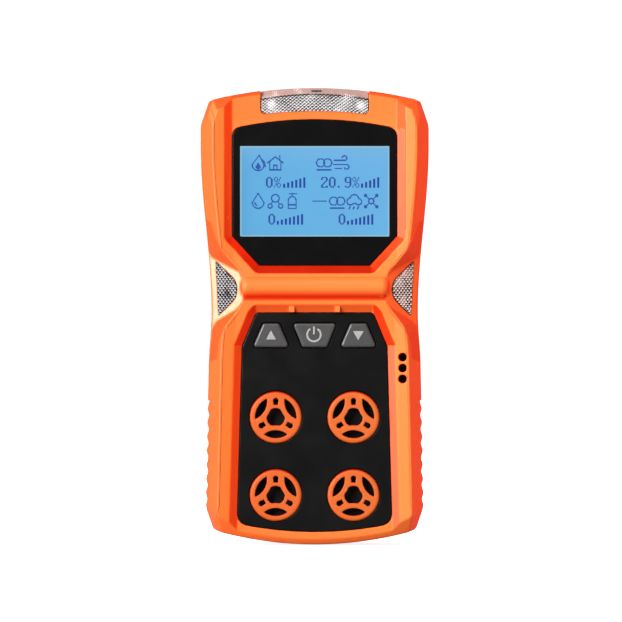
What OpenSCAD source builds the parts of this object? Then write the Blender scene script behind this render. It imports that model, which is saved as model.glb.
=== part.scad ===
// Portable four-gas detector with a belt clip.
// It stands upright on Z = 0 with its front towards -Y, and X = 0 is its middle plane.
// A depth is measured backwards from the crest of the side rails, which lies at Y = -overall_d / 2.

/* [Case] */
// Height of the case
case_h = 130; // [129.5:0.25:130.5]
// Half of the case's width at the shoulders
shoulder_hw = 32.6; // [32.4:0.1:32.8]
// Half of the case's width at the waist
waist_hw = 29.5; // [29.4:0.1:29.7]
// Half of the case's width at the top of the grip ribs
grip_hw = 30.3; // [30.2:0.1:30.5]
// Half of the case's width at the foot
foot_hw = 31.2; // [31.1:0.1:31.4]
// Depth of the case without its belt clip
case_d = 34; // [33.8:0.1:34.2]
// Depth at which the two shells part
parting_d = 16; // [15.9:0.1:16.1]
// Wall thickness of both shells
wall = 2.2; // [2.1:0.05:2.3]

/* [Front face] */
// Depth of the recessed floor that carries the window and the panel
floor_d = 2; // [1.9:0.05:2.1]
// Depth of the inside of the front wall
inner_d = 5; // [4.9:0.05:5]
// Thickness of the display window
window_t = 1.5; // [1.4:0.1:1.6]
// Thickness of the button and sensor panel
panel_t = 1; // [0.8:0.1:1.1]
// Radius of the cross bar between window and panel
bar_r = 3.7; // [3.65:0.01:3.75]
// Radius of each sounder hole
sound_r = 1.1; // [0.9:0.1:1.2]

/* [Sensors] */
// Spacing of the sensors, both ways
sensor_pitch = 22.1; // [22:0.05:22.2]
// Height of the middle of the sensor group
sensor_z = 25.15; // [25.1:0.05:25.2]
// Radius of a sensor
sensor_r = 10.1; // [10:0.05:10.15]
// Height of a sensor body
sensor_h = 16.5; // [16.4:0.05:16.6]
// Radius of a sensor grille
grille_r = 7.4; // [7.2:0.05:7.5]

/* [Buttons] */
// Height of the middle of the button row
button_z = 59.5; // [59.4:0.05:59.6]
// Distance from the power button to each arrow button
button_pitch = 12.4; // [12.3:0.05:12.5]
// How far the buttons stand out of the panel
button_proud = 0.9; // [0.8:0.05:1]

/* [Belt clip] */
// Height of the clip's hinge pin
clip_z = 89; // [88.5:0.25:89.5]
// Radius of the clip's hinge pin
clip_pin_r = 1.2; // [1.1:0.05:1.25]
// Sheet thickness of the clip
clip_t = 1; // [0.9:0.05:1]

/* [Hidden] */
$fn = 48;

overall_d = 45;
back_d = case_d;
// Clearance around parts that sit in an opening
gap = 0.1;

// The cross bar stands proud of the rails, and the clip's thumb pad is the rearmost face
bar_d = 2.1;
bar_proud = bar_r - bar_d;
y_front = bar_proud - overall_d / 2;
clip_back_d = overall_d - bar_proud;

// Case outline
bar_z = 73.2;
top_r = 125;
foot_r = 105;
foot_corner = [29, 10.7];
top_corner = [30.4, case_h - 10.5];
grip_top_z = 50;
waist_z = 66;
shoulder_z = 114;
rail_inset = 3.5;
edge_inset = 2.2;
front_levels = [[0, rail_inset, edge_inset], [1, 2.9, 1.6], [3, 2.1, 0.6], [9, 0, 0]];
back_levels = [[29, 0.2, 0.2], [32, 1.6, 1.6], [back_d, 4, 3.5]];

// Case screws, at [x, z] on the right side
screw_places = [[25.6, case_h - 9], [22.8, 60.5], [24.2, 9.8]];
screw_seat_d = 19.5;
insert_d = [9, parting_d - 0.5];

// Boards
main_board_d = [11, 12.6];
sensor_board_d = [23.6, 25.2];
main_post_places = [[20.4, 80.9], [18.4, 119.6]];
middle_post = [0, 52.2];
sensor_post = [25.3, 39];
connector_z = [47, 50];

// Display
lcd_hw = 21.2;
lcd_z = [87.6, 113.3];
frame_hw = 23.1;
frame_z = [84.6, 117];
frame_d = [inner_d + 0.1, main_board_d[0] - 0.1];
glass_hw = 22.5;
glass_z = frame_z + [0.5, -1.1];
glass_d = [frame_d[0] + 0.5, frame_d[0] + 2.5];

// Alarm lamps
lens_hw = 15.2;
lens_foot_z = case_h - 6.9;
lens_d = [1.8, 12.9];
side_lens_place = [24.9, 72.5];
side_lens_d = 4.3;
side_lens_tilt = 43;

// Sensor stack, in depth
grille_d = [floor_d - 0.7, inner_d];
grille_flange_r = grille_r + 1.2;
membrane_d = [inner_d + 0.05, inner_d + 0.35];
gasket_d = [membrane_d[1], membrane_d[1] + 1];
sensor_d = [gasket_d[1] + 0.05, gasket_d[1] + 0.05 + sensor_h];
sensor_pin_r = 0.75;
sensor_pin_circle_r = 6.75;
sensor_xs = [-sensor_pitch / 2, sensor_pitch / 2];
sensor_zs = [sensor_z - sensor_pitch / 2, sensor_z + sensor_pitch / 2];

// Buttons and switches, in depth
button_d = [floor_d - button_proud, 6.2];
flange_d = inner_d + 0.3;
plunger_d = [button_d[1] + 0.05, 8.9];
switch_d = [8, main_board_d[0]];
switch_w = 6;
plunger_r = 1.5;

// Sounder
sound_place = [25, 50.2];
sound_step = 3.1;
sounder_place = [23, 50.2];
sounder_r = 4;

// Vibration motor, standing upright in the back shell
motor_x = -23.4;
motor_d = 20.5;
motor_z = [80, 92.5];
motor_r = 3.5;

// Battery
battery_hw = 18;
battery_z = [57, 113];
battery_d = [14.2, 23.8];

// Charging port in the foot
port_d = [25.2, 28.4];
cover_hw = 6.8;
cover_pin = [23.3, 1];
cover_pin_r = 0.4;
cover_pin_hw = 8.1;

// Rating plate, in a shallow recess in the back
plate_hw = 15;
plate_z = [18, 48];

// Belt clip, in depth and height
clip_hw = 8;
ear_gap = 0.2;
clip_pin_d = 39.2;
pad_foot_z = 91.6;
jaw_tooth = 3.5;
clip_screw_zs = [79.5, 97.5];
eye_z = 111.5;
eye_d = 37.2;
eye_r = 1.7;

function arc_drop(r, x) = r - sqrt(r * r - x * x);
function blend(t) = (1 - cos(180 * t)) / 2;
function side_x(z) =
    z > waist_z
        ? waist_hw + (shoulder_hw - waist_hw) * blend(min(1, (z - waist_z) / (shoulder_z - waist_z)))
    : z > grip_top_z
        ? waist_hw + (grip_hw - waist_hw) * blend((waist_z - z) / (waist_z - grip_top_z))
    : grip_hw + (foot_hw - grip_hw) * (grip_top_z - z) / (grip_top_z - foot_corner[1]);
function foot_point(x, end) = [x, end + arc_drop(foot_r, x)];
function top_point(x, end) = [x, case_h - end - arc_drop(top_r, x)];

// Right half of the case outline, from the foot upwards, moved in by side and end
function half_outline(side, end) = concat(
    [for (i = [1:4]) foot_point((foot_corner[0] - side) * i / 4, end)],
    [[foot_hw - side, foot_corner[1]]],
    [for (z = [grip_top_z:5:waist_z - 1]) [side_x(z) - side, z]],
    [for (z = [waist_z:6:shoulder_z]) [side_x(z) - side, z]],
    [[shoulder_hw - side, top_corner[1]]],
    [for (i = [4:-1:1]) top_point((top_corner[0] - side) * i / 4, end)]
);
function mirrored(points) = [for (i = [len(points) - 1:-1:0]) [-points[i][0], points[i][1]]];
function outline(side, end) = concat(
    [foot_point(0, end)], half_outline(side, end), [top_point(0, end)], mirrored(half_outline(side, end))
);

// Closed solid through case outlines at [depth, side inset, end inset]
module loft(levels) {
    rings = [for (l = levels) [for (p = outline(l[1], l[2])) [p[0], y_front + l[0], p[1]]]];
    n = len(rings[0]);
    last = len(levels) - 1;
    middle = case_h / 2;
    points = concat(
        [for (r = rings) each r],
        [[0, y_front + levels[0][0], middle], [0, y_front + levels[last][0], middle]]
    );
    sides = [for (l = [0:last - 1], i = [0:n - 1]) let (a = l * n + i, b = l * n + (i + 1) % n)
        each [[a, b, a + n], [b, b + n, a + n]]];
    front = [for (i = [0:n - 1]) [n * (last + 1), (i + 1) % n, i]];
    back = [for (i = [0:n - 1]) [n * (last + 1) + 1, last * n + i, last * n + (i + 1) % n]];
    polyhedron(points = points, faces = concat(sides, front, back), convexity = 6);
}

// A shape drawn in X and Z, extruded from depth d0 to depth d1
module slab(d0, d1) translate([0, y_front + d1, 0]) rotate([90, 0, 0]) linear_extrude(d1 - d0) children();
// A shape drawn in depth and Z, extruded from x0 to x1
module side_slab(x0, x1) translate([x0, y_front, 0]) rotate([90, 0, 90]) linear_extrude(x1 - x0) children();
// A round bar along the depth
module drum(r, d0, d1, place)
    translate([place[0], y_front + d1, place[1]]) rotate([90, 0, 0]) cylinder(r = r, h = d1 - d0);
// A round bar along X, at [depth, z]
module cross_drum(r, x0, x1, place)
    translate([x0, y_front + place[0], place[1]]) rotate([0, 90, 0]) cylinder(r = r, h = x1 - x0);
module tube(r, bore, d0, d1, place) difference() {
    drum(r, d0, d1, place);
    drum(bore, d0 - 1, d1 + 1, place);
}
module block(x, d, z) translate([x[0], y_front + d[0], z[0]]) cube([x[1] - x[0], d[1] - d[0], z[1] - z[0]]);
module both_sides() {
    children();
    mirror([1, 0, 0]) children();
}
module each_sensor() for (x = sensor_xs, z = sensor_zs) translate([x, 0, z]) children();
module case_screw_places() both_sides() for (p = screw_places) translate([p[0], 0, p[1]]) children();
// A round wire swept along a path
wire_sides = 8;
function path_direction(path, i) = unit(path[min(len(path) - 1, i + 1)] - path[max(0, i - 1)]);
function unit(v) = v / norm(v);
function wire_ring(path, i, r) =
    let (t = path_direction(path, i), u = unit(cross(t, [1, 0, 0.02])), w = cross(t, u))
    [for (k = [0:wire_sides - 1]) let (a = 360 * k / wire_sides) path[i] + r * (cos(a) * u + sin(a) * w)];
module swept_wire(path, r) {
    n = len(path);
    m = wire_sides;
    points = concat([for (i = [0:n - 1]) each wire_ring(path, i, r)], [path[0], path[n - 1]]);
    body = [for (i = [0:n - 2], k = [0:m - 1]) let (a = i * m + k, b = i * m + (k + 1) % m)
        each [[a, b, a + m], [b, b + m, a + m]]];
    caps = [for (k = [0:m - 1]) let (j = (k + 1) % m)
        each [[n * m, j, k], [n * m + 1, (n - 1) * m + k, (n - 1) * m + j]]];
    polyhedron(points = points, faces = concat(body, caps), convexity = 10);
}
// A wire through points of [x, depth, z]
module wire(r, points) swept_wire([for (p = points) p + [0, y_front, 0]], r);

// Front face outlines, in X and Z
window_hw = 23.35;
window_top_hw = 22.6;
window_top_z = 120.8;
window_top_r = 106;
function window_half(grow) = [
    [15.7 + grow * 0.5, 79.4 - grow], [window_hw + grow, 87.8 - grow * 0.4],
    [window_hw + grow, 118 + grow * 0.6], [window_top_hw + grow * 0.6, 118.9 + grow]
];
module window_shape(grow = 0) intersection() {
    polygon(concat(
        window_half(grow),
        [[window_top_hw + grow * 0.6, case_h], [-window_top_hw - grow * 0.6, case_h]],
        mirrored(window_half(grow))
    ));
    translate([0, window_top_z + grow - window_top_r]) circle(r = window_top_r, $fn = 200);
}
panel_foot_z = 3.7;
function panel_half() = [[21.95, 7.6], [20.6, 56.3], [17.1, 65.1], [16.2, 65.8]];
module panel_shape(grow = 0) intersection() {
    offset(delta = grow) polygon(concat([[21.3, 0]], panel_half(), mirrored(panel_half()), [[-21.3, 0]]));
    translate([0, panel_foot_z - grow + foot_r]) circle(r = foot_r, $fn = 200);
}
// Width of the sloping wall around a recess
recess_slope = 2.3;
// A recess whose first child is its mouth and whose second is its floor
module recess() hull() {
    slab(-1.1, 0) children(0);
    slab(floor_d - 0.01, floor_d) children(1);
}
module upper_recess_shape(side, foot) {
    half = [
        [15.7 + side * 0.4, 79.4 - foot], [23.4 + side, 87.8 - foot * 0.2],
        [23.4 + side, 120.6], [21.2 + side, 126.8], [21 + side, case_h + 3]
    ];
    polygon(concat(half, mirrored(half)));
}
module lower_recess_shape(side, head) {
    half = [
        [21.4 + side * 0.3, -3], [21.8 + side * 0.3, 3.4], [22 + side, 10.5],
        [20.6 + side, 56.2 - head * 0.3], [16.8 + side * 0.4, 65.9 + head]
    ];
    polygon(concat(half, mirrored(half)));
}
module button_shape(top_hw, foot_hw, grow = 0) offset(r = 0.8 + grow, $fn = 24) polygon([
    [-foot_hw + 0.8, -2.6], [foot_hw - 0.8, -2.6], [top_hw - 0.8, 2.6], [-top_hw + 0.8, 2.6]
]);
module arrow_button_shape(grow = 0) button_shape(2.7, 5.1, grow);
module power_button_shape(grow = 0) button_shape(6.2, 4, grow);
// The three button outlines in their places
module button_row(grow = 0) translate([0, button_z]) {
    translate([-button_pitch, 0]) arrow_button_shape(grow);
    power_button_shape(grow);
    translate([button_pitch, 0]) arrow_button_shape(grow);
}

// Side lamps lie on planes that face outwards and forwards. Heights here stand on that plane.
module side_lamp_frame() translate([side_lens_place[0], y_front + side_lens_d, side_lens_place[1]])
    rotate([0, 0, side_lens_tilt]) children();
module raised(h0, h1) translate([0, -h0, 0]) rotate([90, 0, 0]) linear_extrude(h1 - h0) children();
module side_lens_shape(grow = 0)
    offset(r = 1 + grow, $fn = 24) polygon([[-2.7, 0.2], [2.8, 6.3], [2.8, -6.3]]);
// A side pocket seen from the front. Its floor is the lamp's sloping plane.
module side_pocket(grow = 0) intersection() {
    slab(-3, 16) offset(delta = grow) polygon([
        [20.8, 72.6], [21.3, 77], [27.2, 87], [36, 87], [36, 57.5], [26.4, 57.5], [21.3, 68.4]
    ]);
    side_lamp_frame() raised(-grow, 24) translate([-16, -24]) square([60, 48]);
}
// The wall left behind a side pocket
module side_pocket_wall() intersection() {
    side_pocket(wall);
    loft(concat(front_levels, [[parting_d, 0, 0]]));
}

module cross_bar() intersection() {
    union() {
        cross_drum(bar_r, -18, 18, [bar_d, bar_z]);
        both_sides() translate([18, y_front + bar_d, bar_z]) sphere(r = bar_r);
    }
    block([-30, 30], [-5, inner_d], [60, 90]);
}

// Grip ribs: round grooves cut into both shells' sides
module grip_grooves() both_sides() for (i = [0:6]) {
    z = 14.9 + 4 * i;
    drum(2.4, 5, 28, [side_x(z) + 2.05, z]);
}

module front_shell() color("darkorange") {
    difference() {
        union() {
            difference() {
                loft(concat(front_levels, [[parting_d, 0, 0]]));
                loft([[inner_d, 4, 3.2], [9, wall, wall], [parting_d + 1, wall, wall]]);
            }
            both_sides() side_pocket_wall();
            front_shell_bosses();
            cross_bar();
        }
        recess() {
            upper_recess_shape(recess_slope, recess_slope);
            upper_recess_shape(0, 0);
        }
        recess() {
            lower_recess_shape(recess_slope, 1.6);
            lower_recess_shape(0, 0);
        }
        slab(0, floor_d + window_t) window_shape(gap);
        block([-lcd_hw - 1, lcd_hw + 1], [0, inner_d + 1], lcd_z + [-1, 1]);
        slab(0, floor_d + panel_t) panel_shape(gap);
        slab(0, inner_d + 1) button_row(0.25);
        each_sensor() {
            drum(grille_r + gap, 0, inner_d + 1, [0, 0]);
            drum(grille_flange_r + gap, inner_d - 1, inner_d + 1, [0, 0]);
        }
        both_sides() {
            side_pocket();
            side_lamp_frame() {
                raised(-1.5, 1) side_lens_shape(gap);
                raised(-6, 1) side_lens_shape(-1.4);
            }
        }
        block([-lens_hw - gap, lens_hw + gap], [-1, lens_d[1] + gap], [lens_foot_z - gap, case_h + 2]);
        for (i = [-1:1]) drum(sound_r, -1, inner_d + 1, sound_place + [0, i * sound_step]);
        drum(sounder_r + 0.3, inner_d, main_board_d[1] + 1, sounder_place);
        seal_groove();
        grip_grooves();
    }
    for (x = [-6.5, 6.5]) block([x - 0.7, x + 0.7], [0.9, floor_d + 0.2], [65.95, 67.8]);
}
module front_shell_bosses() {
    case_screw_places() tube(3.2, 2.02, inner_d - 0.5, parting_d, [0, 0]);
    both_sides() for (p = main_post_places) tube(2.2, 0.8, inner_d - 0.5, main_board_d[0], p);
    tube(2.2, 0.8, inner_d - 0.5, main_board_d[0], middle_post);
    both_sides() tube(2.2, 0.8, inner_d - 0.5, sensor_board_d[0], sensor_post);
    tube(2.4, 0.8, inner_d - 0.5, sensor_board_d[0], [0, sensor_z]);
    each_sensor() tube(sensor_pitch / 2 + 0.1, sensor_r + 0.3, inner_d - 0.5, inner_d + 6, [0, 0]);
}
module seal_ring(d0, d1, outer, inner) difference() {
    slab(d0, d1) polygon(outline(outer, outer));
    slab(d0 - 1, d1 + 1) polygon(outline(inner, inner));
}
module seal_groove() seal_ring(parting_d - 1.4, parting_d + 1, 0.6, 1.6);
module case_seal() color("dimgray") seal_ring(parting_d - 1.35, parting_d - 0.4, 0.65, 1.55);

module back_shell() color("darkorange") difference() {
    union() {
        difference() {
            loft(concat([[parting_d, 0, 0]], back_levels));
            loft([
                [parting_d - 1, wall, wall], [29, wall + 0.2, wall + 0.2], [back_d - wall, wall + 2, wall + 2]
            ]);
        }
        seal_ring(parting_d - 0.35, parting_d + 0.2, 0.7, 1.5);
        intersection() {
            case_screw_places() drum(3.4, parting_d, back_d, [0, 0]);
            loft(concat([[parting_d, 0, 0]], back_levels));
        }
        for (z = clip_screw_zs) drum(3.2, back_d - 8.5, back_d - wall + 0.2, [0, z]);
        back_shell_ribs();
    }
    case_screw_places() {
        drum(1.5, parting_d - 1, back_d + 1, [0, 0]);
        drum(2.6, screw_seat_d, back_d + 1, [0, 0]);
    }
    for (z = clip_screw_zs) drum(1.32, back_d - 8, back_d + 1, [0, z]);
    block([-plate_hw, plate_hw], [back_d - 0.4, back_d + 1], plate_z);
    block([-4.7, 4.7], [port_d[0] - 0.2, port_d[1] + 0.2], [-1, 4]);
    block([-cover_hw - 0.2, cover_hw + 0.2], [22.3, 30.8], [-1, 2]);
    cross_drum(cover_pin_r + 0.02, -cover_pin_hw - 0.1, cover_pin_hw + 0.1, cover_pin);
    grip_grooves();
}
module back_shell_ribs() {
    for (z = [battery_z[0] + 10, battery_z[1] - 5])
        block([-battery_hw, battery_hw], [battery_d[1] + 0.2, back_d - wall + 0.2], [z - 0.8, z + 0.8]);
    for (z = [motor_z[0] + 2.5, motor_z[0] + 8])
        block([motor_x - 4.2, motor_x + 4.2], [motor_d + 4.25, back_d - wall + 0.2], [z - 0.7, z + 0.7]);
}

module display_window() color([0.1, 0.1, 0.1]) slab(floor_d, floor_d + window_t) window_shape();
module control_panel() color([0.11, 0.11, 0.11]) difference() {
    slab(floor_d, floor_d + panel_t) panel_shape();
    slab(0, inner_d) button_row(0.25);
    each_sensor() drum(grille_r + gap, 0, inner_d, [0, 0]);
}

// Grille face: three eye slots, three small vents and a middle opening, each repeated at 120 degrees
module grille_openings() for (a = [0:120:240]) rotate(a) {
    intersection() {
        circle(r = 5.87);
        translate([0, -8.95]) circle(r = 5.26);
    }
    translate([0, 4.35]) square([1.5, 1.3], center = true);
    translate([0, 4.8]) circle(r = 0.75);
}
module grille_middle() difference() {
    circle(r = 2.6);
    for (a = [0:120:240]) rotate(a) translate([0, -8.95]) circle(r = 6.71);
}
module sensor_grilles() color("orange") each_sensor() difference() {
    union() {
        drum(grille_r, grille_d[0], grille_d[1], [0, 0]);
        drum(grille_flange_r, inner_d - 0.95, inner_d, [0, 0]);
    }
    slab(grille_d[0] - 1, grille_d[1] + 1) {
        grille_openings();
        grille_middle();
    }
    drum(6.4, grille_d[0] + 1.4, grille_d[1] + 1, [0, 0]);
}
module filter_membranes() color([0.1, 0.1, 0.1]) each_sensor()
    drum(9, membrane_d[0], membrane_d[1] - 0.02, [0, 0]);
module sensor_gaskets() color("dimgray") each_sensor()
    tube(sensor_r - 0.1, 7, gasket_d[0], gasket_d[1], [0, 0]);

// A sensor capsule with a port in its face and three pins behind
module sensor(place, port_r, rim) difference() {
    union() {
        drum(sensor_r, sensor_d[0] + rim, sensor_d[1], place);
        drum(sensor_r - 0.8, sensor_d[0], sensor_d[1], place);
        for (a = [90, 210, 330]) drum(
            sensor_pin_r, sensor_d[1] - 0.5, sensor_board_d[1] + 1.2,
            place + sensor_pin_circle_r * [cos(a), sin(a)]
        );
    }
    drum(port_r, sensor_d[0] - 1, sensor_d[0] + 0.8, place);
}
module combustible_sensor() color("silver") sensor([sensor_xs[0], sensor_zs[1]], 6, 1.2);
module oxygen_sensor() color("lightgray") sensor([sensor_xs[1], sensor_zs[1]], 2.2, 0.6);
module sulfide_sensor() color("tan") sensor([sensor_xs[0], sensor_zs[0]], 3, 0.6);
module monoxide_sensor() color("tomato") sensor([sensor_xs[1], sensor_zs[0]], 2.6, 0.6);
module at_sensor_pins() each_sensor() for (a = [90, 210, 330])
    translate([sensor_pin_circle_r * cos(a), 0, sensor_pin_circle_r * sin(a)]) children();
module sensor_sockets() color("gold") at_sensor_pins()
    tube(1.2, sensor_pin_r + 0.03, sensor_d[1] + 0.05, sensor_board_d[1] + 1.4, [0, 0]);
module sensor_board() color("darkgreen") difference() {
    slab(sensor_board_d[0], sensor_board_d[1]) polygon([
        [-26.5, 9.5], [-21.5, 5.2], [21.5, 5.2], [26.5, 9.5], [26.5, 46],
        [9, 46], [9, 50.5], [-9, 50.5], [-9, 46], [-26.5, 46]
    ]);
    case_screw_places() board_hole(3.7, sensor_board_d, [0, 0]);
    at_sensor_pins() board_hole(1.25, sensor_board_d, [0, 0]);
    both_sides() board_hole(1, sensor_board_d, sensor_post);
    board_hole(1, sensor_board_d, [0, sensor_z]);
}
module board_hole(r, board_d, place) drum(r, board_d[0] - 1, board_d[1] + 1, place);
module main_board() color("darkgreen") difference() {
    slab(main_board_d[0], main_board_d[1]) {
        translate([-22.4, 48]) square([44.8, 73]);
        translate([-26.8, 46.4]) square([53.6, 8.8]);
    }
    case_screw_places() board_hole(3.7, main_board_d, [0, 0]);
    both_sides() for (p = main_post_places) board_hole(1, main_board_d, p);
    board_hole(1, main_board_d, middle_post);
}
module board_connector() color("ivory") {
    block([-8, 8], [main_board_d[1] + 0.05, main_board_d[1] + 4], connector_z);
    block([-8, 8], [sensor_board_d[0] - 3.5, sensor_board_d[0] - 0.05], connector_z);
    block([-7.5, 7.5], [main_board_d[1] + 3.9, sensor_board_d[0] - 3.4], connector_z + [1.3, -1.3]);
}

module lcd_glass() color("skyblue") block([-glass_hw, glass_hw], glass_d, glass_z);
module lcd_backlight() color("white")
    block([-glass_hw, glass_hw], [glass_d[1] + 0.05, frame_d[1] - 0.3], glass_z + [0.6, 0]);
module lcd_frame() color([0.15, 0.15, 0.15]) difference() {
    block([-frame_hw, frame_hw], frame_d, frame_z);
    block([-glass_hw - gap, glass_hw + gap], [glass_d[0] - 0.05, frame_d[1] + 1], glass_z + [-gap, gap]);
    block([-lcd_hw - 0.4, lcd_hw + 0.4], [frame_d[0] - 1, frame_d[0] + 1], lcd_z + [-0.6, 0.6]);
}
module lcd_ribbon() color("peru")
    block([-9, 9], [glass_d[1] + 0.05, main_board_d[0] - 0.02], [glass_z[0] - 0.05, glass_z[0] + 0.15]);

// A button with the flange that keeps it behind the front wall
module button(x) translate([x, 0, 0]) {
    slab(button_d[0], button_d[1]) translate([0, button_z]) children(0);
    slab(flange_d, button_d[1]) translate([0, button_z]) children(1);
}
module up_button() color("gray") button(-button_pitch) {
    arrow_button_shape();
    arrow_button_shape(0.8);
}
module power_button() color("gray") button(0) {
    power_button_shape();
    power_button_shape(0.8);
}
module down_button() color("gray") button(button_pitch) {
    arrow_button_shape();
    arrow_button_shape(0.8);
}
module plunger(x) color("black") drum(plunger_r, plunger_d[0], plunger_d[1], [x, button_z]);
module up_plunger() plunger(-button_pitch);
module power_plunger() plunger(0);
module down_plunger() plunger(button_pitch);
module switch_bodies() color("silver") for (x = [-button_pitch, 0, button_pitch]) difference() {
    block(
        [x - switch_w / 2, x + switch_w / 2], [switch_d[0], switch_d[1] - 0.02],
        [button_z - switch_w / 2, button_z + switch_w / 2]
    );
    drum(plunger_r + 0.2, switch_d[0] - 1, 10, [x, button_z]);
}

module sounder() color([0.15, 0.15, 0.15]) difference() {
    drum(sounder_r, inner_d + 1.1, main_board_d[0] - 0.02, sounder_place);
    drum(1, inner_d, inner_d + 3, sounder_place);
}
module sounder_gasket() color("dimgray") tube(sounder_r, 3.3, inner_d + 0.3, inner_d + 1.05, sounder_place);
module sounder_membrane() color([0.1, 0.1, 0.1]) drum(sounder_r, inner_d + 0.05, inner_d + 0.25, sounder_place);

// Vibration motor: its shaft and off-centre weight turn, the rest is still
module upright(r, z0, z1) translate([motor_x, y_front + motor_d, z0]) cylinder(r = r, h = z1 - z0);
module motor_can() color("silver") difference() {
    upright(motor_r, motor_z[0], motor_z[1]);
    upright(0.55, motor_z[0] + 2, motor_z[1] + 1);
}
module motor_boot() color("dimgray") difference() {
    block(
        [motor_x - 4.3, motor_x + 4.3], [motor_d - 4.2, motor_d + 4.2],
        [motor_z[0] + 1, motor_z[0] + 10.5]
    );
    upright(motor_r + 0.02, motor_z[0], motor_z[1]);
}
module motor_shaft() color("silver") upright(0.5, motor_z[0] + 3, motor_z[1] + 6);
module motor_weight() color("gray") difference() {
    upright(3.1, motor_z[1] + 1, motor_z[1] + 5.5);
    upright(0.52, motor_z[1], motor_z[1] + 6);
    block([motor_x - 4, motor_x + 4], [motor_d + 1, motor_d + 4], [motor_z[1], motor_z[1] + 6]);
}
module motor_leads() color("crimson") for (s = [-1, 1]) wire(0.35, [
    [motor_x + s, motor_d - 1, motor_z[0] - 0.4], [motor_x + s, motor_d - 1, motor_z[0] - 4],
    [motor_x + 4 + s, main_board_d[1] + 0.5, motor_z[0] - 4]
]);

module battery() color("lightsteelblue") difference() {
    block([-battery_hw, battery_hw], battery_d, battery_z);
    both_sides() translate([battery_hw, y_front + battery_d[0], battery_z[0] - 1]) difference() {
        translate([-1.5, 0, 0]) cube([2, 1.5, battery_z[1] - battery_z[0] + 2]);
        translate([-1.5, 1.5, 0]) cylinder(r = 1.5, h = battery_z[1] - battery_z[0] + 2);
    }
}
module battery_board() color("seagreen") block([-12, 12], [18, 19], [battery_z[1] + 0.2, battery_z[1] + 4]);
module battery_pad() color("black")
    block([-12, 12], [battery_d[0] - 1.5, battery_d[0] - 0.05], battery_z + [6, -6]);
module battery_leads() color("red") for (s = [0:1]) wire(0.45, [
    [11, 17, 114.6 + 1.6 * s], [18.4 + 0.6 * s, 17, 114.6 + 1.6 * s], [19.4 + 1.2 * s, 17, 113.6 + s],
    [19.4 + 1.2 * s, 15.5, 106.2]
]);
module battery_socket() color("ivory") difference() {
    block([18.2, 21.8], [main_board_d[1] + 0.05, main_board_d[1] + 5], [100, 106]);
    block([18.8, 21.2], [main_board_d[1] + 1, main_board_d[1] + 6], [100.6, 105.4]);
}

module lens_outline(side, end) intersection() {
    polygon(outline(0, end));
    translate([-lens_hw + side, lens_foot_z + side]) square([2 * (lens_hw - side), 20]);
}
module top_lamp_lens() color("white") difference() {
    slab(lens_d[0], lens_d[1]) lens_outline(0, 0);
    slab(lens_d[0] + 2, lens_d[1] - 1.5) lens_outline(2, 2);
    block([-lens_hw + 2, lens_hw - 2], [lens_d[0] + 2, lens_d[1] + 1], [lens_foot_z - 1, lens_foot_z + 2.4]);
    for (s = [0:1]) translate([-20, y_front + lens_d[0] - 1.6 + 0.8 * s, case_h - 0.2 + 0.6 * s])
        rotate([38, 0, 0]) translate([0, -4, 0]) cube([40, 8, 4]);
}
module side_lens() color("white") side_lamp_frame() raised(-1.4, 0.25) side_lens_shape();
module right_lamp_lens() side_lens();
module left_lamp_lens() mirror([1, 0, 0]) side_lens();
module top_lamp_board() color("darkgreen") block([-13, 13], [7.4, 8.4], [120.4, 126.2]);
module lamp_diodes() color("lightyellow") {
    for (x = [-12, 0, 12]) block([x - 1, x + 1], [6.3, 7.35], [123.4, 125.4]);
    both_sides() block([19, 21], [9.9, main_board_d[0] - 0.02], [71.4, 73.4]);
}

// A cross-head screw whose head faces backwards, with its head's underside at depth seat
module screw(head_r, head_h, shank_r, length, seat) difference() {
    union() {
        drum(head_r, seat, seat + head_h, [0, 0]);
        drum(shank_r, seat - length, seat + 0.1, [0, 0]);
    }
    for (a = [0, 90]) translate([0, y_front + seat + head_h, 0]) rotate([0, a, 0])
        cube([head_r * 1.2, head_h * 1.2, 0.5], center = true);
}
module case_screws() color("silver") case_screw_places() screw(2.2, 2, 1.2, 10.3, screw_seat_d);
module case_inserts() color("goldenrod") case_screw_places() tube(2, 1.25, insert_d[0], insert_d[1], [0, 0]);
module board_screws() color("silver") {
    both_sides() for (p = main_post_places) board_screw(p, 5, main_board_d[1]);
    board_screw(middle_post, 5, main_board_d[1]);
    both_sides() board_screw(sensor_post, 6, sensor_board_d[1]);
    board_screw([0, sensor_z], 6, sensor_board_d[1]);
}
module board_screw(place, length, seat)
    translate([place[0], 0, place[1]]) screw(1.7, 1.2, 0.78, length, seat);

module charge_socket() color("silver") difference() {
    block([-4.4, 4.4], [port_d[0] + 0.02, port_d[1]], [2.6, 9.9]);
    block([-4.1, 4.1], [port_d[0] + 0.35, port_d[1] - 0.3], [2, 9]);
    block([-3.3, 3.3], [port_d[0] - 1, port_d[0] - 0.5], [2, 8.5]);
}
module port_cover() color([0.2, 0.2, 0.2]) difference() {
    union() {
        block([-cover_hw, cover_hw], [cover_pin[0], 30], [0.3, 1.5]);
        block([-2.5, 2.5], [30, 30.7], [0.3, 1]);
        block([-4.1, 4.1], [port_d[0] + 0.5, port_d[1] - 0.5], [1.4, 2.5]);
        cross_drum(0.8, -cover_hw, cover_hw, cover_pin);
    }
    cross_drum(cover_pin_r + 0.04, -cover_pin_hw, cover_pin_hw, cover_pin);
}
module port_cover_pin() color("silver") cross_drum(cover_pin_r, -cover_pin_hw, cover_pin_hw, cover_pin);

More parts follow.
